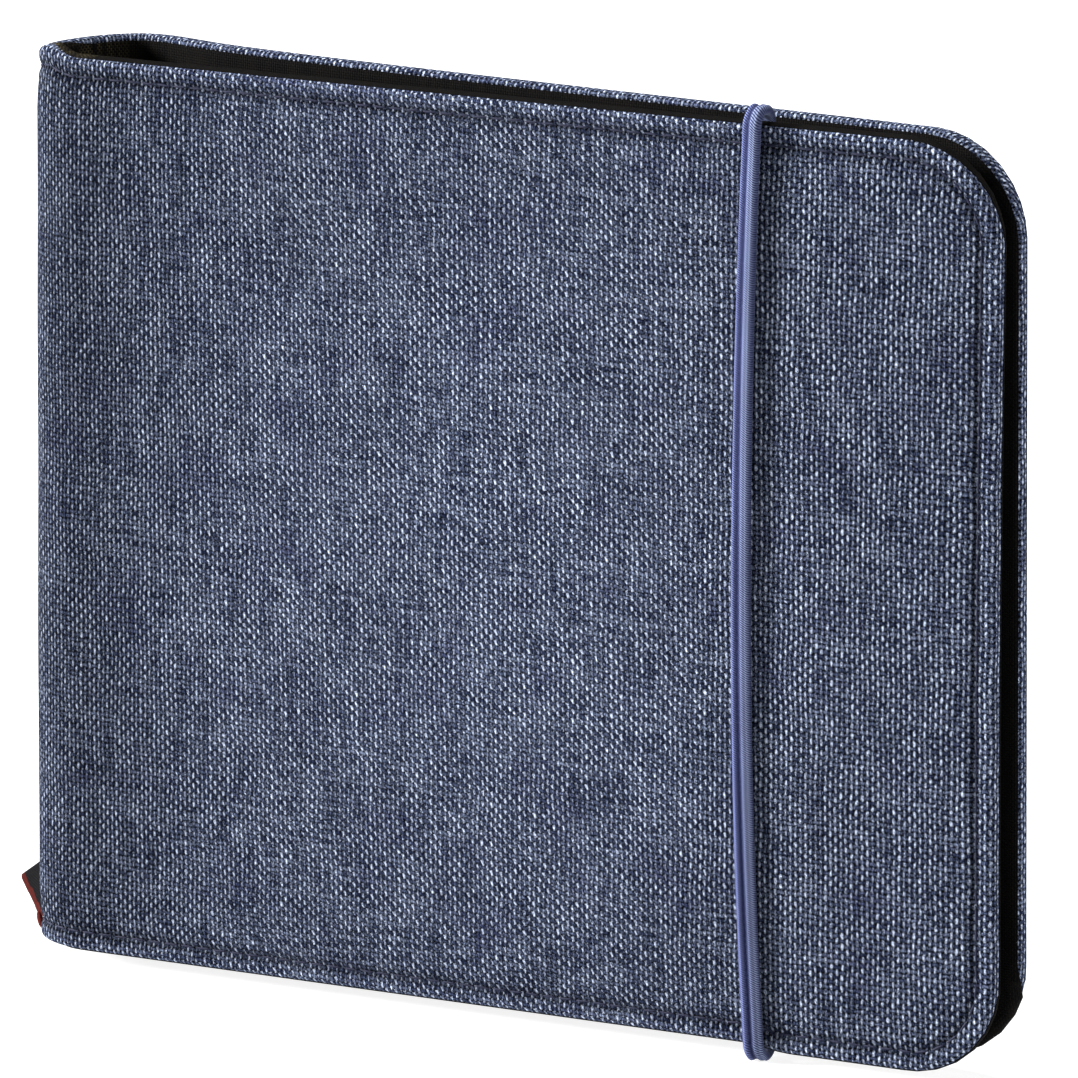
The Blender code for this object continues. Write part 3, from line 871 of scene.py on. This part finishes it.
def ribbon_finish(label):
    """Black satin ribbon with a red folded edge, left bare."""
    paint = Finish("satin_ribbon", roughness=0.6, specular_ior_level=0.03)
    across, along, _ = paint.split(paint.uv())
    rib = ((along / (0.22 * MM)) * (2 * math.pi)).math("SINE") * 0.5 + 0.5
    grain = paint.noise(paint.join(across * 9000.0, along * 2500.0), 1.0, 2.0)
    border = across.math("COMPARE", 1.0, 0.5)
    satin = paint.mix(grain, label.body, (0.007, 0.007, 0.008))
    # The red edge is painted lighter on its rib crests as painted highlight, mixed with random grain
    red = paint.mix((grain.stretch(2.0) * 0.6 + rib * 0.4).clamp(), label.border, (0.085, 0.012, 0.009))
    paint.feed(Base_Color=paint.mix(border, satin, red))
    paint.bump(rib + grain * 0.4, 0.04 * MM)
    return paint.material


def floor_finish(glow):
    """Plain pale light table with the faintest unevenness."""
    paint = Finish("pale_floor", roughness=0.9, specular_ior_level=0.0, emission_strength=glow)
    grain = paint.noise(paint.place(), 6.0, 2.0)
    paint.feed(
        Base_Color=paint.mix(grain, (0.34, 0.34, 0.34), (0.36, 0.36, 0.36)),
        Emission_Color=paint.mix(grain, (0.99, 0.99, 0.99), (1.0, 1.0, 1.0)),
    )
    return paint.material


# Cover pieces

STITCH_SHARE = 0.42
STITCH_PROUD = 0.1
STITCH_SKEW = 0.12


def cover_sheet(name, back, cover):
    """Cloth of one half of the cover, wrapped round its three free edges."""
    length = on_line(SEAM_LENGTH, back)
    ring_count = len(FACE_RINGS) + RIM_RINGS
    bm = flat_sheet(column_lengths(length, back), ring_count)

    def edge_course(number, along, level):
        if number <= len(FACE_RINGS):
            wrap = OUTER_RIM_RADIUS - FACE_RINGS[number - 1] * MM
        else:
            end = cloth_end(along, level)
            wrap = end * (number - len(FACE_RINGS)) / RIM_RINGS
        inset, depth = edge_point(wrap, 0.0, cover)
        return inset, depth, wrap - OUTER_RIM_RADIUS + EDGE_BAND

    lay_sheet(bm, back, edge_course, lambda inset: face_depth(inset, cover))
    thicken(bm, CLOTH_THICKNESS, Vector((0, 1 if back else -1, 0)))
    return add_piece(name, bm, cloth_finish(cover))


def lining_sheet(name, back, cover):
    """Lining of one half of the cover, over the turned-in edge of the cloth."""
    length = on_line(SEAM_LENGTH, back)
    bm = flat_sheet(column_lengths(length, back), LINING_RINGS)
    start = INNER_FACE + EDGE_BAND - INNER_RIM_RADIUS

    def edge_course(number, along, level):
        end = cloth_end(along, level) - LINING_OVERLAP
        ease = (number / LINING_RINGS) ** 0.7
        wrap = start + (end - start) * ease
        lift = LINING_RISE * (1 - 0.5 * smooth((number / LINING_RINGS - 0.8) / 0.2))
        inset, depth = edge_point(wrap, lift, cover)
        return inset, depth, start - wrap

    lay_sheet(bm, back, edge_course, lambda inset: COVER_THICKNESS + LINING_RISE)
    thicken(bm, LINING_THICKNESS, Vector((0, -1 if back else 1, 0)))
    return add_piece(name, bm, lining_finish(cover))


def stitch_course(length, inset, pitch):
    """Centres and ways of the stitches in flat cloth, from the bottom round the fore-edge to the top."""
    low = LOW_CORNER - inset
    high = HIGH_CORNER - inset
    upright = COVER_HEIGHT - LOW_CORNER - HIGH_CORNER
    parts = (length - LOW_CORNER, low * math.pi / 2, upright, high * math.pi / 2, length - HIGH_CORNER)
    count = round(sum(parts) / pitch)
    for number in range(count):
        run = (number + 0.5) * sum(parts) / count
        part = 0
        while run > parts[part]:
            run -= parts[part]
            part += 1
        if part == 0:
            yield Vector((length - run, inset)), Vector((-1, 0))
        elif part == 1:
            sine, cosine = math.sin(run / low), math.cos(run / low)
            yield Vector((LOW_CORNER - low * sine, LOW_CORNER - low * cosine)), Vector((-cosine, sine))
        elif part == 2:
            yield Vector((inset, LOW_CORNER + run)), Vector((0, 1))
        elif part == 3:
            sine, cosine = math.sin(run / high), math.cos(run / high)
            top = COVER_HEIGHT - HIGH_CORNER
            yield Vector((HIGH_CORNER - high * cosine, top + high * sine)), Vector((sine, cosine))
        else:
            yield Vector((HIGH_CORNER + run, COVER_HEIGHT - inset)), Vector((1, 0))


def stitch_row(name, back, cover, depth, finish):
    """Row of stitches round one half of the cover."""
    length = on_line(SEAM_LENGTH, back)
    bm = bmesh.new()
    thick = cover.stitch_width / 2
    stitches = stitch_course(length, cover.stitch_inset, cover.stitch_pitch)
    for number, (centre, way) in enumerate(stitches):
        half = way * cover.stitch_pitch * STITCH_SHARE
        flat_ends = (centre - half, centre, centre + half)
        ends = [PLAN.place(on_line(point.x, back), point.y, depth) for point in flat_ends]
        lengthways = (ends[2] - ends[0]) / 2
        outer = PLAN.place(on_line(centre.x, back), centre.y, depth - MM)
        upwards = (outer - ends[1]).normalized()
        sideways = lengthways.normalized().cross(upwards)
        skew = noise.noise(Vector((number * 0.7, 3.0 if back else 0.0, depth * 900))) * STITCH_SKEW
        lengthways = lengthways + sideways * lengthways.length * skew
        matrix = Matrix.Identity(4)
        for column, axis in enumerate((sideways * thick, upwards * thick, lengthways)):
            matrix.col[column][:3] = axis
        matrix.col[3][:3] = ends[1]
        bmesh.ops.create_uvsphere(bm, u_segments=8, v_segments=6, radius=1, matrix=matrix)
    bmesh.ops.recalc_face_normals(bm, faces=bm.faces)
    return add_piece(name, bm, finish)


class WALLET_OT_cover(bpy.types.Operator):
    """Make the cloth cover with its stitching"""

    bl_idname = "wallet.cover"
    bl_label = "Cloth Cover"

    def execute(self, context):
        cover = context.scene.wallet_cover
        front = cover_sheet("front_and_spine_cover", False, cover)
        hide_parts("front_cover_cloth")
        bend_at_fold(front, 0, 0, CLOTH_FOLD_SLANT)
        back = cover_sheet("back_cover", True, cover)
        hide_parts("spine_and_back_cloth")
        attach(back, "case")
        thread = thread_finish(cover)
        depth = face_depth(cover.stitch_inset, cover) + cover.stitch_width * STITCH_PROUD
        front_row = stitch_row("front_and_spine_stitching", False, cover, depth, thread)
        bend_at_fold(front_row, 0, 0, CLOTH_FOLD_SLANT)
        back_row = stitch_row("back_stitching", True, cover, depth, thread)
        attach(back_row, "case")
        return {"FINISHED"}


class WALLET_OT_lining(bpy.types.Operator):
    """Make the lining of both covers and the spine"""

    bl_idname = "wallet.lining"
    bl_label = "Lining"

    def execute(self, context):
        cover = context.scene.wallet_cover
        front = lining_sheet("front_and_spine_inner_lining", False, cover)
        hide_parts("front_lining")
        bend_at_fold(front, LINING_FOLD_START, COVER_THICKNESS + LINING_RISE, LINING_FOLD_SLANT)
        back = lining_sheet("back_inner_lining", True, cover)
        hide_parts("spine_and_back_lining")
        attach(back, "case")
        return {"FINISHED"}


class WALLET_OT_stiffeners(bpy.types.Operator):
    """Finish the boards in the covers, the padding of the spine and the binding tape"""

    bl_idname = "wallet.stiffeners"
    bl_label = "Boards and Padding"

    def execute(self, context):
        board = board_finish()
        finishes = {
            "front_board": board,
            "back_board": board,
            "spine_padding": foam_finish(),
            "sleeve_binding_tape": tape_finish(),
        }
        for name, finish in finishes.items():
            mesh = frame["nodes"][name].data
            mesh.materials.clear()
            mesh.materials.append(finish)
        return {"FINISHED"}


# Disc sleeves

LEAF_WELD = 6 * MM
LEAF_CORNER = 5 * MM
LEAF_THICKNESS = 0.12 * MM
FILM_THICKNESS = 0.03 * MM
FILM_GAP = 0.02 * MM
FILM_SIDE = 1.5 * MM
FILM_TOP = 2.5 * MM
SPINE_PITCH = 0.5 * MM
FORE_EDGE_PITCH = 0.4 * MM
LEAF_SLOT = 0.25 * MM
LEAF_COLUMN = 9 * MM
LEAF_ROW = 15 * MM
LEAF_WAVE = 0.1 * MM
LEAF_WAVE_SIZE = 45 * MM
NOTCH_CUTS = 16


def leaf_depth(number, count, x, z):
    """Y of a leaf's middle: the pack fans in from its weld to the fore-edge and waves a little."""
    weld_end = SLEEVES_LOW.x + LEAF_WELD
    share = held((x - weld_end) / (SLEEVES_HIGH.x - weld_end))
    near_spine = SLEEVES_LOW.y + (SPINE_PITCH - FORE_EDGE_PITCH) * count + SPINE_PITCH * number
    near_edge = SLEEVES_LOW.y + FORE_EDGE_PITCH * number
    wave = LEAF_WAVE * noise.noise(Vector((x, z, 0)) / LEAF_WAVE_SIZE) * share
    return near_spine + (near_edge - near_spine) * share + LEAF_SLOT / 2 + wave


def even_steps(low, high, step):
    """Even steps of about a size from low on, without high itself."""
    count = max(round((high - low) / step), 1)
    return [low + (high - low) * number / count for number in range(count)]


def add_leaf(bm, low, high, notch, number, count, offset):
    """Sheet with rounded corners at the fore-edge and, for a film, a thumb notch in its top edge."""
    middle = (low.x + high.x) / 2
    if notch:
        curve = [middle - notch * math.cos(math.pi * cut / NOTCH_CUTS) for cut in range(NOTCH_CUTS)]
        columns = even_steps(low.x, middle - notch, LEAF_COLUMN) + curve
        columns += even_steps(middle + notch, high.x, LEAF_COLUMN)
    else:
        columns = [low.x] + even_steps(low.x + LEAF_WELD, high.x, LEAF_COLUMN)
    columns.append(high.x)
    rows = even_steps(low.z, high.z, LEAF_ROW) + [high.z]
    last_column, last_row = len(columns) - 1, len(rows) - 1
    sheet = bmesh.ops.create_grid(bm, x_segments=last_column, y_segments=last_row, size=1)["verts"]
    corners = []
    for vert in sheet:
        x = columns[round((vert.co.x + 1) / 2 * last_column)]
        z = rows[round((vert.co.y + 1) / 2 * last_row)]
        if x == columns[-1] and z in (rows[0], rows[-1]):
            corners.append(vert)
        if notch and z == rows[-1] and abs(x - middle) < notch:
            z -= math.sqrt(notch**2 - (x - middle) ** 2)
        vert.co = (x, 0, z)
    made = bmesh.ops.bevel(
        bm, geom=corners, offset=LEAF_CORNER, offset_type="OFFSET", segments=6, profile=0.5,
        affect="VERTICES", material=-1,
    )
    for vert in {*(vert for vert in sheet if vert.is_valid), *made["verts"]}:
        vert.co.y = leaf_depth(number, count, vert.co.x, vert.co.z) + offset


def close_leaves(bm, thickness):
    """Make each sheet a thin closed body round its own middle."""
    bmesh.ops.recalc_face_normals(bm, faces=bm.faces)
    bmesh.ops.solidify(bm, geom=bm.faces[:], thickness=thickness)
    bmesh.ops.recalc_face_normals(bm, faces=bm.faces)


class WALLET_OT_sleeves(bpy.types.Operator):
    """Make the fleece leaves and the clear pockets on both their sides"""

    bl_idname = "wallet.sleeves"
    bl_label = "Disc Sleeves"

    def execute(self, context):
        sleeves = context.scene.wallet_sleeves
        leaves = bmesh.new()
        films = bmesh.new()
        film_low = SLEEVES_LOW + Vector((LEAF_WELD + FILM_SIDE, 0, FILM_SIDE))
        film_high = SLEEVES_HIGH - Vector((FILM_SIDE, 0, FILM_TOP))
        stand_off = LEAF_THICKNESS / 2 + FILM_GAP + FILM_THICKNESS / 2
        for number in range(sleeves.count):
            add_leaf(leaves, SLEEVES_LOW, SLEEVES_HIGH, 0, number, sleeves.count, 0)
            for side in (-stand_off, stand_off):
                add_leaf(films, film_low, film_high, sleeves.notch_radius, number, sleeves.count, side)
        close_leaves(leaves, LEAF_THICKNESS)
        close_leaves(films, FILM_THICKNESS)
        pack = add_piece("sleeve_leaves", leaves, fleece_finish())
        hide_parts("disc_sleeves")
        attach(pack, "case")
        pockets = add_piece("sleeve_pockets", films, film_finish())
        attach(pockets, "case")
        return {"FINISHED"}


# Elastic

ELASTIC_FROM_FORE_EDGE = 43.8 * MM
ELASTIC_STAND_OFF = 0.5 * MM
ELASTIC_BOW_MIDDLE = 72.3 * MM
ELASTIC_UPPER_RUN = 73.7 * MM
ELASTIC_LOWER_RUN = 67.3 * MM
ELASTIC_BOW_TOP = 1.6 * MM
ELASTIC_BOW_BOTTOM = 2.1 * MM
ELASTIC_TWIST_TOP = math.radians(-17)
ELASTIC_TWIST_BOTTOM = math.radians(15)
ELASTIC_TWIST_DEPTH = 1 * MM
ELASTIC_TWIST_EASE = 1.5 * MM
ELASTIC_HAIRPIN = 2.45 * MM
ELASTIC_TOP_CENTRE = COVER_HEIGHT - 0.15 * MM
ELASTIC_BOTTOM_CENTRE = 0.6 * MM
ELASTIC_TAIL_BEND = 1.4 * MM
ELASTIC_TAIL_Z = 4.2 * MM
ELASTIC_STEP = 0.09 * MM
ELASTIC_WINDOW = 12
ELASTIC_FULLNESS = 0.06
ELASTIC_SIDES = 36
RIB_DEPTH = 0.05 * MM
RIB_SLANT = 0.55
RIDGE_HEIGHT = 0.3 * MM
RIDGED_WIDTH = 3.3 * MM
# Middle, reach and height of each ridge
RIDGES = (
    (-1.12 * MM, 0.42 * MM, 0.30 * MM),
    (0.42 * MM, 0.38 * MM, 0.28 * MM),
    (1.20 * MM, 0.36 * MM, 0.27 * MM),
)


def ridge_sum(across, width):
    """Height of the ridges at a place across the elastic."""
    scale = across * RIDGED_WIDTH / width
    return sum(height * math.exp(-(((scale - middle) / reach) ** 2)) for middle, reach, height in RIDGES)


def arc(y, z, radius, start, sweep, cuts):
    """Points of an arc round a middle, with its start and sweep in quarter turns."""
    angles = [(start + sweep * cut / cuts) * math.pi / 2 for cut in range(cuts + 1)]
    return [Vector((0, y + radius * math.cos(angle), z + radius * math.sin(angle))) for angle in angles]


def elastic_course(elastic):
    """Middle of the elastic from its lower tail, up the front of the cover, to its upper tail."""
    front = FRONT_Y - ELASTIC_STAND_OFF - elastic.thickness / 2
    middle = front + ELASTIC_HAIRPIN
    bend = ELASTIC_TAIL_BEND
    tail = front + 2 * ELASTIC_HAIRPIN + bend
    tail_end = lining_face((ELASTIC_LOW.x + ELASTIC_HIGH.x) / 2) - elastic.thickness / 2
    top_tail = COVER_HEIGHT - ELASTIC_TAIL_Z
    points = [Vector((0, tail_end, ELASTIC_TAIL_Z))]
    points += arc(tail, ELASTIC_TAIL_Z - bend, bend, 1, 1, 8)
    points += arc(middle, ELASTIC_BOTTOM_CENTRE, ELASTIC_HAIRPIN, 0, -2, 32)
    points += [Vector((0, front, z)) for z in even_steps(4 * MM, COVER_HEIGHT - 4 * MM, 4 * MM)]
    points += arc(middle, ELASTIC_TOP_CENTRE, ELASTIC_HAIRPIN, 2, -2, 32)
    points += arc(tail, top_tail + bend, bend, 2, 1, 8)[1:]
    points.append(Vector((0, tail_end, top_tail)))
    for point in points:
        point.x = elastic_x(point.z)
    return points


def elastic_x(z):
    """X of the elastic at a height: it bows towards the spine in the middle."""
    above = max(z - ELASTIC_BOW_MIDDLE, 0) / ELASTIC_UPPER_RUN
    below = max(ELASTIC_BOW_MIDDLE - z, 0) / ELASTIC_LOWER_RUN
    bow = ELASTIC_BOW_TOP * above**2 + ELASTIC_BOW_BOTTOM * below**2
    return FORE_EDGE_X - ELASTIC_FROM_FORE_EDGE + bow


def lining_face(x):
    """Y of the back cover's lining at an x."""
    along = PLAN.length_at(x, last=True)
    return PLAN.place(along, 0, COVER_THICKNESS + LINING_RISE).y


def even_course(points, step):
    """The same course in even steps, as (point, length so far)."""
    lengths = running_lengths(points)
    count = round(lengths[-1] / step)
    course = []
    for number in range(count + 1):
        run = lengths[-1] * number / count
        place, share = spot(lengths, run)
        course.append((points[place].lerp(points[place + 1], share), run))
    return course


class WALLET_OT_elastic(bpy.types.Operator):
    """Make the elastic that holds the wallet shut"""

    bl_idname = "wallet.elastic"
    bl_label = "Elastic"

    def execute(self, context):
        elastic = context.scene.wallet_elastic
        course = even_course(elastic_course(elastic), ELASTIC_STEP)
        half = elastic.width / 2
        bm = bmesh.new()
        marks = bm.verts.layers.float_vector.new("base")
        rows = len(course) - 1
        sheet = bmesh.ops.create_grid(bm, x_segments=ELASTIC_SIDES, y_segments=rows, size=1)["verts"]
        frames = []
        for number, (point, run) in enumerate(course):
            before = course[max(number - ELASTIC_WINDOW, 0)][0]
            after = course[min(number + ELASTIC_WINDOW, rows)][0]
            along = (after - before).normalized()
            twist = ELASTIC_TWIST_BOTTOM
            twist += (ELASTIC_TWIST_TOP - ELASTIC_TWIST_BOTTOM) * smooth(point.z / COVER_HEIGHT)
            twist *= smooth((FRONT_Y + ELASTIC_TWIST_DEPTH - point.y) / ELASTIC_TWIST_EASE)
            sideways = Vector((1, 0, 0)) - along * along.x
            sideways = Matrix.Rotation(twist, 3, along) @ sideways.normalized()
            frames.append((point, run, sideways, sideways.cross(along)))
        for vert in sheet:
            number = round((vert.co.y + 1) / 2 * rows)
            turn = -(vert.co.x + 1) / 2 * 2 * math.pi
            point, run, sideways, outward = frames[number]
            side = math.cos(turn)
            rise = math.sin(turn)
            across = half * side * (1.0 + ELASTIC_FULLNESS * (1 - side * side))
            edge = (1 - side**4) ** 0.5
            if rise >= 0:
                ridge = ridge_sum(across, elastic.width)
                phase = (run + across * RIB_SLANT) / elastic.rib_pitch
                rib = RIB_DEPTH * math.sin(phase * 2 * math.pi) * min(ridge / RIDGE_HEIGHT, 1.0)
                lift = (elastic.thickness / 2 - RIDGE_HEIGHT) * edge + (ridge + rib) * min(edge * 2, 1.0)
            else:
                lift = -elastic.thickness / 2 * edge
            vert.co = point + sideways * across + outward * lift
            vert[marks] = (across, run, 0)
        weave = bm.loops.layers.uv.new("braid")
        for face in bm.faces:
            for loop in face.loops:
                loop[weave].uv = loop.vert[marks].xy
        bmesh.ops.remove_doubles(bm, verts=bm.verts, dist=0.001 * MM)
        ends = [edge for edge in bm.edges if edge.is_boundary]
        bmesh.ops.holes_fill(bm, edges=ends)
        bmesh.ops.recalc_face_normals(bm, faces=bm.faces)
        band = add_piece("elastic_loop", bm, elastic_finish(elastic), 80)
        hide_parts("elastic_band")
        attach(band, "case")
        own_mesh(band)
        return {"FINISHED"}


# Label

LABEL_PLY = 0.7 * MM
LABEL_ORIGIN = 4.9 * MM
# Low root, high root, low tip and high tip, out from the origin and up
LABEL_CORNERS = (
    (4.5 * MM, 2.4 * MM), (4.5 * MM, 13.3 * MM), (7.2 * MM, 2.6 * MM), (10.5 * MM, 8.7 * MM),
)
LABEL_CURL = 0.35 * MM
LABEL_ROUND = 0.2 * MM
LABEL_BORDER = 0.75 * MM
LOBE_OUT = 6.9 * MM
LOBE_UP = 1.4 * MM
LOBE_TILT = math.radians(-14)
LOBE_SIZE = (0.55 * MM, LABEL_PLY * 0.6, 1.5 * MM)


class WALLET_OT_label(bpy.types.Operator):
    """Make the folded ribbon that stands out of the spine"""

    bl_idname = "wallet.label"
    bl_label = "Label Ribbon"

    def execute(self, context):
        label = context.scene.wallet_label
        low_root, high_root, low_tip, high_tip = (Vector((*corner, 0)) for corner in LABEL_CORNERS)
        spine = SPINE_LOW.x + LABEL_ORIGIN
        depth = (LABEL_LOW.y + LABEL_HIGH.y) / 2
        bm = bmesh.new()
        marks = bm.verts.layers.float_vector.new("base")
        for vert in bmesh.ops.create_grid(bm, x_segments=14, y_segments=14, size=0.5)["verts"]:
            out = vert.co.x + 0.5
            up = vert.co.y + 0.5
            place = low_root.lerp(high_root, up).lerp(low_tip.lerp(high_tip, up), out)
            curl = LABEL_CURL * math.sin(out * math.pi) * (up - 0.4)
            vert.co = (spine - place.x, depth + curl, place.y)
            vert[marks] = ((high_tip - low_tip).length * up, out, 0)
        bmesh.ops.solidify(bm, geom=bm.faces[:], thickness=LABEL_PLY)
        sharp = [edge for edge in bm.edges if edge.calc_face_angle(0) > 1]
        bmesh.ops.bevel(
            bm, geom=sharp, offset=LABEL_ROUND, offset_type="OFFSET", segments=3, profile=0.5,
            affect="EDGES", material=-1,
        )
        lobe = Matrix.LocRotScale(
            Vector((spine - LOBE_OUT, depth, LOBE_UP)),
            Matrix.Rotation(LOBE_TILT, 3, "Y"),
            Vector(LOBE_SIZE),
        )
        bmesh.ops.create_uvsphere(bm, u_segments=16, v_segments=10, radius=1, matrix=lobe)
        weave = bm.loops.layers.uv.new("ribbon")
        tip_way = (high_tip - low_tip).normalized()
        for face in bm.faces:
            for loop in face.loops:
                place = Vector((spine - loop.vert.co.x, loop.vert.co.z, 0)) - low_tip
                out = place.x * tip_way.y - place.y * tip_way.x
                loop[weave].uv = (1 if out > -LABEL_BORDER else 0, place.dot(tip_way))
        bmesh.ops.recalc_face_normals(bm, faces=bm.faces)
        ribbon = add_piece("folded_ribbon", bm, ribbon_finish(label))
        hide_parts("label_ribbon")
        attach(ribbon, "case")
        return {"FINISHED"}


# Stage

LOOK_AT = (0.0092, -0.01155, 0.0780)
FLOOR_HALF = 6


def add_sun(name, way, softness, strength):
    """Soft even light that comes from a direction."""
    lamp = bpy.data.lights.new(name, "SUN")
    lamp.angle = softness
    lamp.energy = strength
    item = bpy.data.objects.new(name, lamp)
    item.rotation_euler = Vector(way).to_track_quat("Z", "Y").to_euler()
    bpy.context.scene.collection.objects.link(item)


class WALLET_OT_stage(bpy.types.Operator):
    """Make the floor, the lights and the camera"""

    bl_idname = "wallet.stage"
    bl_label = "Stage"

    def execute(self, context):
        stage = context.scene.wallet_stage
        scene = context.scene
        low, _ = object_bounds()
        bm = bmesh.new()
        bmesh.ops.create_grid(bm, x_segments=1, y_segments=1, size=FLOOR_HALF)
        bmesh.ops.translate(bm, verts=bm.verts, vec=(0, 0, low.z))
        floor = add_piece("floor", bm, floor_finish(stage.glow))
        floor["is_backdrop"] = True
        azimuth = stage.azimuth
        level = math.cos(stage.elevation)
        back = Vector((math.sin(azimuth) * level, -math.cos(azimuth) * level, math.sin(stage.elevation)))
        right = Vector((math.cos(azimuth), math.sin(azimuth), 0))
        up = back.cross(right)
        rolled_right = right * math.cos(stage.roll) + up * math.sin(stage.roll)
        rolled_up = up * math.cos(stage.roll) - right * math.sin(stage.roll)
        lens = bpy.data.cameras.new("photo_camera")
        lens.lens = stage.lens
        lens.sensor_width = 36
        lens.clip_start = 0.05
        lens.clip_end = 20
        camera = bpy.data.objects.new("photo_camera", lens)
        facing = Matrix((rolled_right, rolled_up, back)).transposed()
        camera.matrix_world = Matrix.LocRotScale(Vector(LOOK_AT) + back * stage.distance, facing, None)
        scene.collection.objects.link(camera)
        scene.camera = camera
        add_sun("key", (-0.86, -0.40, 0.31), math.radians(14), stage.key_strength)
        add_sun("side", (0.96, -0.06, 0.26), math.radians(30), stage.side_strength)
        add_sun("top", (-0.20, 0.12, 0.95), math.radians(35), stage.top_strength)
        world = bpy.data.worlds.new("studio")
        world.use_nodes = True
        background = world.node_tree.nodes["Background"]
        background.inputs["Color"].default_value = (1, 1, 1, 1)
        background.inputs["Strength"].default_value = stage.sky
        scene.world = world
        scene.view_settings.view_transform = "Standard"
        return {"FINISHED"}


class WALLET_PT_wallet(bpy.types.Panel):
    bl_label = "CD Wallet"
    bl_space_type = "VIEW_3D"
    bl_region_type = "UI"
    bl_category = "CD Wallet"

    def draw(self, context):
        layout = self.layout
        scene = context.scene
        for settings, operators in (
            (scene.wallet_cover, (WALLET_OT_cover, WALLET_OT_lining, WALLET_OT_stiffeners)),
            (scene.wallet_sleeves, (WALLET_OT_sleeves,)),
            (scene.wallet_elastic, (WALLET_OT_elastic,)),
            (scene.wallet_label, (WALLET_OT_label,)),
            (scene.wallet_stage, (WALLET_OT_stage,)),
        ):
            box = layout.box()
            for name in settings.__annotations__:
                box.prop(settings, name)
            for operator in operators:
                box.operator(operator.bl_idname)


SETTINGS = {
    "wallet_cover": CoverSettings,
    "wallet_sleeves": SleeveSettings,
    "wallet_elastic": ElasticSettings,
    "wallet_label": LabelSettings,
    "wallet_stage": StageSettings,
}
OPERATORS = (
    WALLET_OT_cover,
    WALLET_OT_lining,
    WALLET_OT_stiffeners,
    WALLET_OT_sleeves,
    WALLET_OT_elastic,
    WALLET_OT_label,
    WALLET_OT_stage,
)


def register():
    for item in (*SETTINGS.values(), *OPERATORS, WALLET_PT_wallet):
        bpy.utils.register_class(item)
    for name, settings in SETTINGS.items():
        setattr(bpy.types.Scene, name, PointerProperty(type=settings))


def unregister():
    for name in SETTINGS:
        delattr(bpy.types.Scene, name)
    for item in (WALLET_PT_wallet, *reversed(OPERATORS), *reversed(SETTINGS.values())):
        bpy.utils.unregister_class(item)


def main():
    register()
    bpy.ops.wallet.cover()
    bpy.ops.wallet.lining()
    bpy.ops.wallet.stiffeners()
    bpy.ops.wallet.sleeves()
    bpy.ops.wallet.elastic()
    bpy.ops.wallet.label()
    bpy.ops.wallet.stage()
    boxes = {"cad": CAD_BOX, "shown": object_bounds()}
    {name: [list(corner) for corner in box] for name, box in boxes.items()}


if __name__ == "__main__":
    main()
